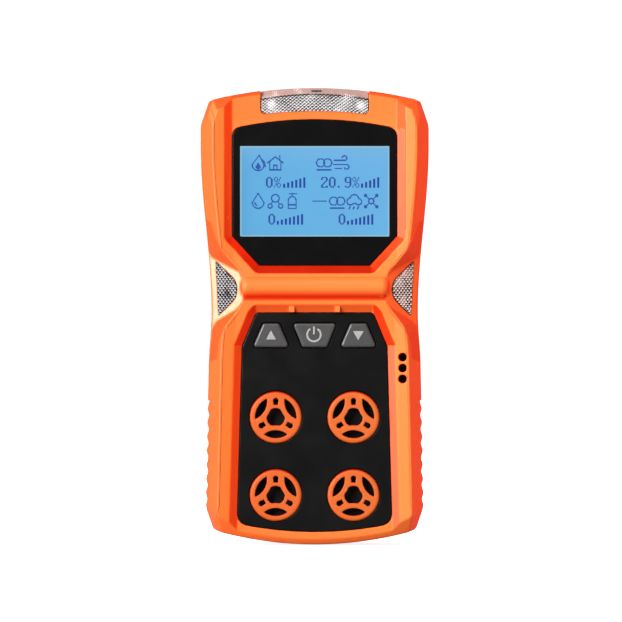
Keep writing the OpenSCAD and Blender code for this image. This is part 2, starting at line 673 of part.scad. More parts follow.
// Belt clip: a base plate screwed to the back, and a toothed lever on a sprung pin
module ear_shape(r, foot_d, half) {
    translate([clip_pin_d, clip_z]) circle(r = r);
    translate([min(foot_d, clip_pin_d), clip_z - half]) square([abs(foot_d - clip_pin_d), 2 * half]);
}
module clip_base() color("silver") difference() {
    union() {
        slab(back_d, back_d + clip_t) translate([-clip_hw, 62]) square([2 * clip_hw, 41]);
        side_slab(-4, 4) polygon([
            [back_d, 102], [back_d + clip_t, 102], [back_d + clip_t, 104.6], [eye_d + clip_t, 107.3],
            [eye_d + clip_t, eye_z], [eye_d, eye_z], [eye_d, 107.7], [back_d, 105]
        ]);
        drum(4, eye_d, eye_d + clip_t, [0, eye_z]);
        for (x = [-clip_hw, clip_hw - clip_t]) side_slab(x, x + clip_t) ear_shape(2.5, back_d + 0.5, 2.5);
        for (i = [-1.5:1.5]) translate([i * jaw_tooth, 0, 0])
            block([-0.9, 0.9], [back_d, back_d + 1.6], [62, 63]);
    }
    cross_drum(clip_pin_r + 0.02, -20, 20, [clip_pin_d, clip_z]);
    for (z = clip_screw_zs) drum(1.6, back_d - 1, back_d + 2, [0, z]);
    drum(eye_r, eye_d - 1, eye_d + 2, [0, eye_z]);
}
// The lever's sheet in depth and height: thumb pad, slope, and the jaw turned in at its foot
function lever_line(t) = [
    [clip_back_d - t, 104], [clip_back_d - t, pad_foot_z - t * 0.1],
    [39.2 - t, 66 - t * 0.2], [37.4 - t * 1.3, 62 + t * 0.9]
];
module clip_lever() color("silver") {
    lever_hw = clip_hw + ear_gap + clip_t;
    difference() {
        union() {
            side_slab(-lever_hw, lever_hw) polygon(concat(
                lever_line(0), [[36.1, 61.6], [35.7, 62.4], [36.1, 63.1]],
                [for (i = [3:-1:0]) lever_line(clip_t)[i]]
            ));
            for (x = [-lever_hw, lever_hw - clip_t]) side_slab(x, x + clip_t) {
                translate([clip_pin_d, clip_z]) circle(r = 2.8);
                polygon([
                    [clip_pin_d - 2, clip_z - 2], [clip_pin_d, clip_z + 2.8], [clip_back_d - 0.5, 96],
                    [clip_back_d - 0.5, pad_foot_z], [40, 72.5], [39.3, 72.5]
                ]);
            }
        }
        cross_drum(clip_pin_r + 0.07, -20, 20, [clip_pin_d, clip_z]);
        for (i = [-2:2]) translate([i * jaw_tooth, y_front + 35, 61]) rotate([0, 45, 0])
            cube([1.6, 6, 1.6], center = true);
    }
}
module clip_pin() color("silver") {
    end = clip_hw + ear_gap + clip_t + gap;
    cross_drum(clip_pin_r, -end - gap, end + gap, [clip_pin_d, clip_z]);
    both_sides() cross_drum(1.9, end, end + 0.7, [clip_pin_d, clip_z]);
}
// Torsion spring: a coil about the pin whose two legs push the thumb pad and the base apart
coil_r = 2.2;
coil_wire_r = 0.42;
coil_hw = 3.4;
coil_turns = 5;
function coil_point(x, a, r) = [x, y_front + clip_pin_d + r * sin(a), clip_z + r * cos(a)];
function spring_path() = concat(
    [[-coil_hw, y_front + 35.5, 99]],
    [for (i = [0:72]) let (t = i / 72)
        coil_point(coil_hw * (2 * t - 1), -90 + t * (360 * coil_turns + 180), coil_r)],
    [[coil_hw, y_front + clip_back_d - clip_t - 0.5, 99]]
);
module clip_spring() color("silver") swept_wire(spring_path(), coil_wire_r);
module clip_screws() color("silver") for (z = clip_screw_zs)
    translate([0, 0, z]) screw(2.7, 1.8, 1.3, 7.5, back_d + clip_t + 0.02);
module rating_plate() color("lightgray")
    block([-plate_hw + 0.2, plate_hw - 0.2], [back_d - 0.38, back_d - 0.1], plate_z + [0.2, -0.2]);

front_shell();
back_shell();
case_seal();
display_window();
control_panel();
sensor_grilles();
filter_membranes();
sensor_gaskets();
combustible_sensor();
oxygen_sensor();
sulfide_sensor();
monoxide_sensor();
sensor_sockets();
sensor_board();
main_board();
board_connector();
lcd_glass();
lcd_backlight();
lcd_frame();
lcd_ribbon();
up_button();
power_button();
down_button();
up_plunger();
power_plunger();
down_plunger();
switch_bodies();
sounder();
sounder_gasket();
sounder_membrane();
motor_can();
motor_boot();
motor_shaft();
motor_weight();
motor_leads();
battery();
battery_board();
battery_pad();
battery_leads();
battery_socket();
top_lamp_lens();
left_lamp_lens();
right_lamp_lens();
top_lamp_board();
lamp_diodes();
case_screws();
case_inserts();
board_screws();
charge_socket();
port_cover();
port_cover_pin();
clip_base();
clip_lever();
clip_pin();
clip_spring();
clip_screws();
rating_plate();
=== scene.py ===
"""Looks of a portable four-gas detector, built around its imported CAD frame.

Shapes are worked out in millimetres as [x, d, z]: x to the right, d backwards from the crest of the side rails,
z up from the foot. Moulded pieces are drawn as signed distances, negative inside, and meshed on a grid.
"""

import itertools
import math

import bmesh
import bpy
import numpy as np
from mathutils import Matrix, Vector


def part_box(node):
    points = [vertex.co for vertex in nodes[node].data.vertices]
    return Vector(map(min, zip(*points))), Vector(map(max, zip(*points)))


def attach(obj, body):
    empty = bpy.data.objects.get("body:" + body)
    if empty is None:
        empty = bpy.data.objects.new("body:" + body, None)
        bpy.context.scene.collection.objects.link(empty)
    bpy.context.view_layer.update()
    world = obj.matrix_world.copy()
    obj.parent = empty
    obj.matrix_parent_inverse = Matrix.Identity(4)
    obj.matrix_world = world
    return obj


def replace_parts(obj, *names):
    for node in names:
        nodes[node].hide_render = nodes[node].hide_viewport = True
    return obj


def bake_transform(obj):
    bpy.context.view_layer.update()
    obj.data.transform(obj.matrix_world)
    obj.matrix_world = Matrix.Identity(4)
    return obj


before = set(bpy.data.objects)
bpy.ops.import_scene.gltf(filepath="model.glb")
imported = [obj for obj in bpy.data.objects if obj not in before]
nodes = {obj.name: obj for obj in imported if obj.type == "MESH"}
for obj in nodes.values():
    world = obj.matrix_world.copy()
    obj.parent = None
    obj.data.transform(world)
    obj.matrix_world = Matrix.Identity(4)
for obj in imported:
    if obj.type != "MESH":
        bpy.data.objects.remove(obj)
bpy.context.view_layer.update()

# ---------------------------------------------------------------- driving dimensions, mm

MM = 0.001
CASE_H = 130.0
CASE_D = 34.0
PARTING = 16.0
WALL = 2.2
FLOOR = 2.0
INNER = 5.0
BAR_Z, BAR_R, BAR_CENTRE_D, BAR_HW = 73.2, 3.7, 2.1, 21.7
FRONT_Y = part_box("display_window")[0].y / MM - FLOOR
TOP_R, FOOT_R = 125.0, 105.0
RECESS_WALL = 2.35
SENSOR_X, SENSOR_Z, SENSOR_PITCH = 11.05, 25.15, 22.1
GRILLE_R = 7.4
BUTTON_Z, BUTTON_PITCH = 59.5, 12.4
LCD_HW, LCD_HZ, LCD_MID = 21.2, 12.85, 100.45
POCKET_PLACE, POCKET_D, POCKET_TILT = (24.9, 72.5), 4.3, math.radians(43)
SCREWS = [(25.6, 121.0), (22.8, 60.5), (24.2, 9.8)]
POST_R, INSERT_R = 3.2, 2.02
CLIP_SCREW_ZS, EYE_Z = (79.5, 97.5), 111.5
HOLE_X, HOLE_Z, HOLE_PITCH, HOLE_R = 25, 50.2, 3.1, 1.22
GRID = 0.32


def metres(points):
    """Points of [x, d, z] in mm as row-frame metres."""
    points = np.asarray(points, float)
    return np.stack([points[..., 0], points[..., 1] + FRONT_Y, points[..., 2]], -1) * MM


# ---------------------------------------------------------------- signed-distance toolkit

def smin(a, b, k):
    """Union of two distances with a fillet about k wide."""
    h = np.clip(0.5 + 0.5 * (b - a) / k, 0, 1)
    return b + (a - b) * h - k * h * (1 - h)


def smax(a, b, k):
    """Intersection of two distances with a rounded edge about k wide."""
    return -smin(-a, -b, k)


def smoothstep(lo, hi, v):
    t = np.clip((v - lo) / (hi - lo), 0, 1)
    return t * t * (3 - 2 * t)


def polygon(x, z, points):
    """Distance to a closed outline in the x, z plane."""
    best = np.full(np.broadcast(x, z).shape, 1e9)
    inside = np.zeros(best.shape, bool)
    for (ax, az), (bx, bz) in zip(points, points[1:] + points[:1]):
        ex, ez = bx - ax, bz - az
        t = np.clip(((x - ax) * ex + (z - az) * ez) / (ex * ex + ez * ez), 0, 1)
        best = np.minimum(best, np.hypot(x - ax - t * ex, z - az - t * ez))
        if az != bz:
            crosses = (z < az) != (z < bz)
            inside ^= crosses & (x < ax + (z - az) * ex / ez)
    return np.where(inside, -best, best)


def mirrored(half):
    """A closed outline from its right half, drawn from the foot to the top."""
    return half + [(-x, z) for x, z in reversed(half)]


def segment(x, z, a, b):
    """Distance from a straight line between two points."""
    ex, ez = b[0] - a[0], b[1] - a[1]
    t = np.clip(((x - a[0]) * ex + (z - a[1]) * ez) / (ex * ex + ez * ez), 0, 1)
    return np.hypot(x - a[0] - t * ex, z - a[1] - t * ez)


def rect(x, z, hw, hz, mid_z=0.0, mid_x=0.0):
    """Distance-like value of a rectangle of half width hw and half height hz."""
    return np.maximum(np.abs(x - mid_x) - hw, np.abs(z - mid_z) - hz)


def box(x, d, z, low, high):
    """Distance-like value of an upright box."""
    value = np.maximum(np.maximum(low[0] - x, x - high[0]), np.maximum(low[2] - z, z - high[2]))
    return np.maximum(value, np.maximum(low[1] - d, d - high[1]))


def surface_nets(values, origin, step):
    """Vertices and quads of the zero level of a grid of distances, one vertex for each cell it crosses."""
    inside = values < 0
    n = np.array(values.shape)
    count = sum(
        inside[tuple(slice(at, size - 1 + at) for at, size in zip(corner, n))].astype(np.int8)
        for corner in itertools.product((0, 1), repeat=3))
    active = (count > 0) & (count < 8)
    index = np.full(active.shape, -1, np.int32)
    index[active] = np.arange(active.sum())
    cells = np.argwhere(active)
    total = np.zeros((len(cells), 3))
    weight = np.zeros(len(cells))
    for axis in range(3):
        others = [a for a in range(3) if a != axis]
        for corner in itertools.product((0, 1), repeat=2):
            low = np.zeros(3, int)
            low[others] = corner
            high = low.copy()
            high[axis] = 1
            v0 = values[tuple((cells + low).T)]
            v1 = values[tuple((cells + high).T)]
            cross = (v0 < 0) != (v1 < 0)
            point = (cells + low).astype(float)
            point[:, axis] += np.where(cross, v0 / np.where(cross, v0 - v1, 1), 0)
            total[cross] += point[cross]
            weight += cross
    points = origin + step * total / weight[:, None]
    quads = []
    for axis in range(3):
        u, v = (axis + 1) % 3, (axis + 2) % 3
        low = [slice(None)] * 3
        high = [slice(None)] * 3
        low[axis], high[axis] = slice(0, n[axis] - 1), slice(1, n[axis])
        a, b = inside[tuple(low)], inside[tuple(high)]
        edges = np.argwhere(a != b)
        across = edges[:, [u, v]]
        edges = edges[((across > 0) & (across < n[[u, v]] - 1)).all(1)]
        outward = a[tuple(edges.T)]
        ring = []
        for du, dv in ((-1, -1), (0, -1), (0, 0), (-1, 0)):
            cell = edges.copy()
            cell[:, u] += du
            cell[:, v] += dv
            ring.append(index[tuple(cell.T)])
        ring = np.stack(ring, 1)
        ring[~outward] = ring[~outward][:, ::-1]
        quads.append(ring)
    return points, np.concatenate(quads)


def gradient(shape, p, h=0.02):
    rows = []
    for axis in range(3):
        step = np.zeros(3)
        step[axis] = h
        up, down = p + step, p - step
        rows.append((shape(*up.T) - shape(*down.T)) / (2 * h))
    return np.stack(rows, 1)


def settle(shape, p, reach, rounds=3):
    """Moves points onto the shape's surface, none by more than reach."""
    start = p.copy()
    for _ in range(rounds):
        g = gradient(shape, p)
        move = -shape(*p.T)[:, None] * g / np.maximum((g * g).sum(1), 0.05)[:, None]
        p = p + np.clip(move, -reach, reach)
        p = start + np.clip(p - start, -reach, reach)
    return p


def new_piece(name, mesh, body=None):
    """A new object from a mesh or an edit mesh and riding on a body."""
    if isinstance(mesh, bmesh.types.BMesh):
        bmesh.ops.recalc_face_normals(mesh, faces=mesh.faces)
        data = bpy.data.meshes.new(name)
        mesh.to_mesh(data)
        mesh.free()
        mesh = data
    piece = bpy.data.objects.new(name, mesh)
    bpy.context.scene.collection.objects.link(piece)
    if body:
        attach(piece, body)
    return piece


def mesh_object(name, points, faces, body, smooth=True):
    """A new object from row-frame metres and faces of one length, riding on a body."""
    faces = np.asarray(faces, np.int32)
    mesh = bpy.data.meshes.new(name)
    mesh.vertices.add(len(points))
    mesh.vertices.foreach_set("co", np.asarray(points, np.float32).ravel())
    mesh.loops.add(faces.size)
    mesh.loops.foreach_set("vertex_index", faces.ravel())
    mesh.polygons.add(len(faces))
    mesh.polygons.foreach_set("loop_start", np.arange(0, faces.size, faces.shape[1], dtype=np.int32))
    mesh.update(calc_edges=True)
    mesh.polygons.foreach_set("use_smooth", np.full(len(faces), smooth))
    return new_piece(name, mesh, body)


def store_shade(mesh, shade, points):
    """Stores a shade for each face's corners, taken a little inside the face so that it changes at creases."""
    vertex = np.zeros(len(mesh.loops), np.int32)
    mesh.loops.foreach_get("vertex_index", vertex)
    total = np.zeros(len(mesh.polygons), np.int32)
    mesh.polygons.foreach_get("loop_total", total)
    normals = np.zeros(len(mesh.polygons) * 3)
    mesh.polygons.foreach_get("normal", normals)
    face = np.repeat(np.arange(len(total)), total)
    corners = points[vertex]
    centres = np.add.reduceat(corners, np.cumsum(total) - total) / total[:, None]
    inside = corners + 0.3 * (centres[face] - corners)
    attribute = mesh.attributes.new("shade", "FLOAT", "CORNER")
    attribute.data.foreach_set("value", shade(inside, normals.reshape(-1, 3)[face]).astype(np.float32))


def moulded(name, shape, low, high, step, body, material,
            node=None, keep=1.0, shift=(0, 0, 0), shade=None):
    """Meshes a distance function of x, d, z inside a box, and gives it the function's own normals.

    keep is the part of its faces that is kept, and node the CAD node it replaces.
    """
    low, high = np.array(low, float), np.array(high, float)
    n = np.ceil((high - low) / step).astype(int) + 1
    axes = [low[a] + step * np.arange(n[a]) for a in range(3)]
    values = shape(axes[0][:, None, None], axes[1][None, :, None], axes[2][None, None, :])
    values = np.broadcast_to(values, tuple(n)).astype(np.float32)
    points, quads = surface_nets(values, low, step)
    points = settle(shape, points, step * 0.45)
    piece = mesh_object(name, metres(points + np.array(shift)), quads, body)
    if keep < 1:
        thin = piece.modifiers.new("thin", "DECIMATE")
        thin.ratio = keep
        graph = bpy.context.evaluated_depsgraph_get()
        mesh = bpy.data.meshes.new_from_object(piece.evaluated_get(graph))
        piece.modifiers.clear()
        piece.data = mesh
        co = np.zeros(len(mesh.vertices) * 3)
        mesh.vertices.foreach_get("co", co)
        points = co.reshape(-1, 3) / MM - np.array([0, FRONT_Y, 0]) - np.array(shift)
        points = settle(shape, points, step * 0.3, 2)
        mesh.vertices.foreach_set("co", metres(points + np.array(shift)).astype(np.float32).ravel())
        mesh.polygons.foreach_set("use_smooth", np.ones(len(mesh.polygons), bool))
        mesh.update()
    normals = gradient(shape, points, 0.06)
    normals /= np.maximum(np.linalg.norm(normals, axis=1), 1e-6)[:, None]
    if shade is not None:
        store_shade(piece.data, shade, points)
    piece.data.normals_split_custom_set_from_vertices(normals.astype(np.float32).tolist())
    finish_on(piece, material)
    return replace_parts(piece, node) if node else piece


# ---------------------------------------------------------------- the case

def arc_drop(radius, x):
    return radius - np.sqrt(radius * radius - x * x)


def side_half_width(z):
    waist, shoulder, grip, foot = 29.5, 32.6, 30.3, 31.2
    upper = waist + (shoulder - waist) * (1 - np.cos(np.pi * np.clip((z - 66) / 48, 0, 1))) / 2
    middle = waist + (grip - waist) * (1 - np.cos(np.pi * np.clip((66 - z) / 16, 0, 1))) / 2
    lower = grip + (foot - grip) * np.clip((50 - z) / 39.3, 0, 1)
    return np.where(z > 66, upper, np.where(z > 50, middle, lower))


def case_outer(x, d, z):
    """The whole case's outside, both shells together, before its front relief."""
    ax = np.abs(x)
    back = 0.0135 * np.maximum(d - PARTING, 0)
    side_in = smax(3.5 - 0.389 * d, 0 * d, 0.7) + back
    end_in = smax(3.5 - 1.2 * d, 0 * d, 0.5) + back
    foot_in = smax(4.2 - 1.3 * d, 0 * d, 0.6) + back
    rib = np.clip((z - 10.6) / 4, 0, 7.6)
    groove = np.where((z > 10.6) & (z < 41.0), 0.5 - 0.5 * np.cos(2 * np.pi * rib), 0)
    groove = 0.42 * groove * smoothstep(6.0, 8.5, d) * (1 - smoothstep(26, 28.5, d))
    side = ax - side_half_width(z) + side_in + groove
    top = np.hypot(x, z - (CASE_H - TOP_R)) - TOP_R + end_in
    foot = np.hypot(x, z - FOOT_R) - FOOT_R + foot_in
    top_corner = ((ax - 32.4) * 5.8 + (z - 120) * 2.0) / 6.135 + 0.5 * (side_in + end_in)
    foot_corner = ((ax - 31.1) * 6.1 - (z - 10.3) * 2.1) / 6.451 + 0.7 * side_in
    value = smax(smax(side, top_corner, 0.4), top, 0.5)
    value = smax(smax(value, foot_corner, 0.6), foot, 0.8)
    return smax(value, d - CASE_D, 5.0)


RAIL_LEAN = 0.18
WINDOW_FLOOR = mirrored([(15.7, 79.4), (23.4, 87.8), (23.4, 136)])
PANEL_FLOOR = mirrored([(22.2, -8), (21.95, 7), (20.6, 56.3), (17.0, 65.0), (16.2, 65.9)])
POCKET_RIM = [
    (20.4, 75.6), (20.0, 73), (20.2, 69.4), (21.9, 66.2), (25.2, 62.0), (26.9, 57.5), (27.3, 52.5),
    (44, 46), (44, 98), (29.2, 92), (27.5, 86.8), (26.1, 83.7), (23.3, 80.3), (21.2, 77.9),
]


def recess(x, z, outline, rim):
    """Depth of a recess whose sloping walls start from a rim of the given depth."""
    slope = FLOOR - (FLOOR - rim) * polygon(x, z, outline) / RECESS_WALL
    return smin(smax(slope, rim, 0.3), FLOOR + 0 * slope, 0.3)


def pocket_plane(ax):
    return POCKET_D + (ax - POCKET_PLACE[0]) * math.tan(POCKET_TILT)


def relief(x, z):
    """Depth of the case's front surface behind the rail crests, which lean in towards the middle."""
    ax = np.abs(x)
    lean = RAIL_LEAN * np.clip(side_half_width(z) - 3.5 - ax, 0, 3.6) * smoothstep(3, 10, np.abs(z - BAR_Z))
    depth = np.maximum(recess(x, z, WINDOW_FLOOR, lean), recess(x, z, PANEL_FLOOR, lean))
    into = -polygon(ax, z, POCKET_RIM)
    pocket = smin(smax(2.2 * into, -1 + 0 * into, 0.5), pocket_plane(ax), 0.45)
    depth = smax(depth, pocket, 0.3)
    across = np.minimum(BAR_R**2, (z - BAR_Z) ** 2)
    bar = BAR_CENTRE_D - np.sqrt(BAR_R**2 - across)
    end = np.clip(ax - (BAR_HW - 2.6), 0, None)
    bar = bar + 5 * (1 - np.sqrt(np.clip(1 - (end / 2.6) ** 2, 0, 1)))
    bar = np.where((across >= BAR_R**2 - 1e-6) | (ax > BAR_HW), 20, bar)
    depth = smin(depth, bar, 0.35)
    for rib_x in (-6.5, 6.5):
        depth = smin(depth, 0.45 + np.maximum(rect(x, z, 0.75, 1.6, 67.5, rib_x), 0) * 5, 0.15)
    return depth


def window_outline(x, z):
    sides = polygon(x, z, WINDOW_FLOOR)
    return smax(sides, np.hypot(x, z - 14.8) - 106, 2.6)


def panel_outline(x, z):
    sides = polygon(x, z, PANEL_FLOOR)
    return smax(sides, np.hypot(x, z - 108.7) - 105, 3.2)


def grille_distance(x, z):
    """Distance to the nearest sensor grille's rim, negative inside it."""
    gx = np.abs(x) - SENSOR_X
    gz = np.abs(z - SENSOR_Z) - SENSOR_PITCH / 2
    return np.hypot(gx, gz) - GRILLE_R


def button_outline(x, z, which):
    """One key's outline: -1 is the up key, 0 the power key, 1 the down key."""
    hw_foot, hw_top = (3.0, 5.15) if which == 0 else (4.1, 1.8)
    core = [(-hw_foot, -2.65), (hw_foot, -2.65), (hw_top, 2.65), (-hw_top, 2.65)]
    return polygon(x - which * BUTTON_PITCH, z - BUTTON_Z, core) - 0.75


def nearest_button(x, z):
    return np.minimum(np.minimum(button_outline(x, z, -1), button_outline(x, z, 0)), button_outline(x, z, 1))


def lens_frame(x, d, z):
    """Coordinates on a side pocket's floor: u along its slope, h out of it, v up."""
    dx, dd = np.abs(x) - POCKET_PLACE[0], d - POCKET_D
    c, s = math.cos(POCKET_TILT), math.sin(POCKET_TILT)
    return dx * c + dd * s, dx * s - dd * c, z - POCKET_PLACE[1]


LENS_HW, LENS_FOOT_Z = 15.2, 123.4
LENS_CORE = [(0.45, 0.0), (10.45, 7.0), (10.45, -7.2)]


def half_moon(u, v):
    """Outline of a side lamp lens on its own plane: a straight outer edge and a bulging inner one."""
    return smax(polygon(u, v, LENS_CORE) - 4.2, u - 0.07 * v - 3.85, 0.5)


def front_shell(x, d, z):
    value = smax(case_outer(x, d, z), relief(x, z) - d, 0.35)
    ax = np.abs(x)
    hollow = smax(case_outer(x, d, z) + WALL, INNER - d, 1.5)
    away_from_pocket = smoothstep(0, 4, polygon(ax, z, POCKET_RIM) - 2.5)
    hollow = smax(hollow, pocket_plane(ax) + 3.0 - d - 30 * away_from_pocket, 1.0)
    value = np.maximum(value, -hollow)
    for sx, sz in SCREWS:
        away = np.hypot(ax - sx, z - sz)
        post = np.maximum(away - POST_R, 4.5 - d)
        value = np.minimum(value, np.maximum(post, case_outer(x, d, z) + 0.6))
        value = np.maximum(value, -np.maximum(away - INSERT_R, INNER + 2 - d))
    value = smax(value, -np.maximum(window_outline(x, z) - 0.12, d - FLOOR - 1.5), 0.15)
    value = smax(value, -np.maximum(panel_outline(x, z) - 0.12, d - FLOOR - 1.0), 0.15)
    openings = np.minimum(nearest_button(x, z) - 0.25, grille_distance(x, z) - 1.3)
    openings = np.minimum(rect(x, z, LCD_HW + 0.8, 13.6, LCD_MID), openings)
    value = np.maximum(value, -np.maximum(openings, 1 - d))
    u, h, v = lens_frame(x, d, z)
    value = smax(value, -np.maximum(half_moon(u, v) - 0.16, -1.5 - h), 0.2)
    value = np.maximum(value, -np.maximum(half_moon(u, v) + 1.3, -7 - h))
    lens = smax(np.abs(x) - LENS_HW - 0.15, LENS_FOOT_Z - 0.15 - z - arc_drop(TOP_R, np.clip(x, -16, 16)), 1.6)
    value = smax(value, -smax(lens, d - 13, 0.3), 0.25)
    for step in (-1, 0, 1):
        hole = np.hypot(x - HOLE_X, z - HOLE_Z - HOLE_PITCH * step) - HOLE_R
        value = smax(value, -np.maximum(hole, d - 9), 0.35)
    return smax(value, d - PARTING + 0.03, 0.35)


def front_shade(points, normals):
    """Painted shade on the front shell, from 0 to 1, or a painted pale sheen, down to -1, on the left lamp
    pocket's floor, where it is also polished to a lower roughness.

    The painted shade falls on recess walls, most where they face up, under the bar and along the chamfered top;
    walls that face the key light get a painted salmon tint instead.
    """
    x, d, z = points.T
    upper = np.abs(polygon(x, z, WINDOW_FLOOR) / RECESS_WALL - 0.5)
    lower = np.abs(polygon(x, z, PANEL_FLOOR) / RECESS_WALL - 0.5)
    wall = 1 - smoothstep(0.44, 0.56, np.where(z > BAR_Z, upper, lower))
    up = np.clip(normals[:, 2] * 1.6, -0.7, 1)
    right = np.clip(-normals[:, 0], 0, 1)
    chamfer = smoothstep(0.25, 0.5, normals[:, 2]) * (z > 121)
    foot = smoothstep(0.25, 0.5, -normals[:, 2]) * (z < 9)
    # Walls turned to the key light get a negative value: a painted salmon tint for their lit look.
    lit = right * (np.abs(normals[:, 2]) < 0.2) * (z < 118)
    slanted = (z > 56.6) & (z < BAR_Z) & (np.abs(x) > 16.7)
    strength = np.where(slanted, 0.75, 0.6 + 0.4 * up - 0.36 * right - 1.3 * lit)
    wall = wall * strength * smoothstep(-0.99, -0.93, normals[:, 1]) * (1 - chamfer) * (1 - foot)
    # Painted shade on the chamfered top and, faintly, on the floor above the window and under the bar.
    top = 0.42 * chamfer + 0.1 * smoothstep(118, 123, z) * (np.abs(x) < 24)
    under_bar = smoothstep(0.2, 3.0, BAR_Z - z) * (1 - smoothstep(3.4, 4.1, BAR_Z - z)) * (np.abs(x) < BAR_HW)
    painted_shade = np.clip(np.maximum(wall, np.maximum(top, 0.75 * under_bar)), 0, 1)
    painted_shade = np.where(wall < 0, 0.3 * np.clip(wall / 0.2, -1, 0), painted_shade)
    # Both pockets' chamfers get painted shade; the left pocket's floor gets a painted pale sheen down to -1,
    # the right one's floor slight painted shade.
    pocket = smoothstep(0.2, 0.6, -polygon(np.abs(x), z, POCKET_RIM)) * (d < PARTING - 5)
    floor = 1 - smoothstep(0.25, 0.6, np.abs(d - pocket_plane(np.abs(x))))
    return np.where(pocket > 0, pocket * (0.35 - np.where(x < 0, 1.35, 0.23) * floor), painted_shade)


def back_shell(x, d, z):
    outer = case_outer(x, d, z)
    value = smax(outer, PARTING + 0.03 - d, 0.35)
    ax = np.abs(x)
    value = np.maximum(value, -np.maximum(outer + WALL, d - CASE_D + WALL))
    for sx, sz in SCREWS:
        away = np.hypot(ax - sx, z - sz)
        value = np.minimum(value, smax(np.maximum(away - POST_R - 0.2, PARTING + 0.05 - d), outer, 0.3))
        value = smax(value, -np.maximum(away - 2.6, 19.5 - d), 0.5)
        value = np.maximum(value, 1.5 - away)
    for sz in CLIP_SCREW_ZS:
        away = np.hypot(x, z - sz)
        boss = np.maximum(away - POST_R, CASE_D - 8.5 - d)
        value = np.minimum(value, np.maximum(boss, d - CASE_D + 0.5))
        value = np.maximum(value, -np.maximum(away - 1.32, CASE_D - 8 - d))
    plate = smax(np.abs(x) - 15, np.abs(z - 33) - 15, 1.2)
    value = smax(value, -np.maximum(plate, CASE_D - 0.4 - d), 0.15)
    bed = smax(np.abs(x) - 9.6, np.abs(z - 83.5) - 24.5, 2.0)
    value = smax(value, -np.maximum(np.abs(bed) - 0.45, CASE_D - 0.45 - d), 0.3)
    value = smax(value, -box(x, d, z, (-4.7, 25.0, -2), (4.7, 28.6, 4)), 0.2)
    value = smax(value, -box(x, d, z, (-7, 22.3, -2), (7, 30.8, 2)), 0.3)
    pin = np.maximum(np.hypot(d - 23.3, z - 1) - 0.42, np.abs(x) - 8.2)
    return np.maximum(value, -pin)


# ---------------------------------------------------------------- materials

class Material:
    """A node-based material, built up by short calls."""

    def __init__(self, name, colour, roughness, metallic=0.0):
        self.material = bpy.data.materials.new(name)
        self.material.use_nodes = True
        self.tree = self.material.node_tree
        self.shader = self.tree.nodes["Principled BSDF"]
        self.set(Base_Color=colour, Roughness=roughness, Metallic=metallic)
        self.position = self.tree.nodes.new("ShaderNodeTexCoord").outputs["Object"]
        self.bump_input = None

    def feed(self, socket, value):
        """Links a socket to another, or gives it a number, a colour or a vector."""
        if isinstance(value, bpy.types.NodeSocket):
            self.tree.links.new(value, socket)
        elif socket.type == "RGBA" and len(value) == 3:
            socket.default_value = (*value, 1)
        else:
            socket.default_value = value

    def node(self, kind, choice=None, **inputs):
        """A new node with its inputs fed by name; choice sets its attribute's name or its operation."""
        made = self.tree.nodes.new(kind)
        if choice:
            setattr(made, "attribute_name" if kind == "ShaderNodeAttribute" else "operation", choice)
        for key, value in inputs.items():
            self.feed(made.inputs[key.replace("_", " ")], value)
        return made

    def set(self, **inputs):
        for key, value in inputs.items():
            self.feed(self.shader.inputs[key.replace("_", " ")], value)

    def noise(self, size_mm, detail=3.0, stretch=(1, 1, 1)):
        """Noise whose cells are about size_mm wide, stretched along the axes where stretch is above 1."""
        scaled = self.node("ShaderNodeMapping", Vector=self.position, Scale=[1 / s for s in stretch])
        inputs = {"Vector": scaled.outputs["Vector"], "Scale": 1 / (size_mm * MM), "Detail": detail}
        return self.node("ShaderNodeTexNoise", **inputs).outputs["Fac"]

    def axis(self, name):
        """One coordinate of the place being shaded, in metres."""
        return self.node("ShaderNodeSeparateXYZ", Vector=self.position).outputs[name]

    def remap(self, factor, low, high, from_low=0.3, from_high=0.7):
        """A factor's range from_low to from_high carried over to low to high, and held at its ends."""
        limits = {"From_Min": from_low, "From_Max": from_high, "To_Min": low, "To_Max": high}
        return self.node("ShaderNodeMapRange", Value=factor, **limits).outputs["Result"]

    def math(self, kind, a, b=0.0):
        made = self.node("ShaderNodeMath", kind)
        self.feed(made.inputs[0], a)
        self.feed(made.inputs[1], b)
        return made.outputs["Value"]

    def mix(self, factor, a, b):
        """Colour a where the factor is 0 and b where it is 1."""
        made = self.tree.nodes.new("ShaderNodeMix")
        made.data_type = "RGBA"
        for number, value in ((0, factor), (6, a), (7, b)):
            self.feed(made.inputs[number], value)
        return made.outputs[2]

    def bump(self, height, depth_mm, strength=1.0):
        """Adds relief depth_mm high, on top of any before it."""
        made = self.node("ShaderNodeBump", Height=height, Distance=depth_mm * MM, Strength=strength)
        if self.bump_input is not None:
            self.feed(made.inputs["Normal"], self.bump_input)
        self.bump_input = made.outputs["Normal"]
        self.set(Normal=self.bump_input)
        return self

    def wear(self, base, worn, amount=0.5):
        """Mixes in a worn colour along convex edges."""
        pointy = self.node("ShaderNodeNewGeometry").outputs["Pointiness"]
        patches = self.remap(self.noise(2.5), 0, 1, 0.45, 0.6)
        edge = self.math("MULTIPLY", self.remap(pointy, 0, 1, 0.53, 0.62), patches)
        return self.mix(self.math("MULTIPLY", edge, amount), base, worn)


def finish_on(piece, material):
    piece.data.materials.clear()
    piece.data.materials.append(material.material)
    return piece


# Case orange tints: lit orange, a painted darker tint for the left side, then painted shade for steep faces,
# deep and deepest shade.
CASE_TINTS = [
    (1.0, 0.215, 0.038), (0.97, 0.16, 0.025), (0.98, 0.1, 0.014), (0.72, 0.008, 0.001), (0.44, 0.01, 0.002),
]
# Painted pale sheen for the left pocket floor, and a painted salmon tint for walls that face the key light.
PAINTED_SHEEN_TINT, LIT_WALL_TINT = (1.0, 0.29, 0.12), (0.62, 0.07, 0.045)


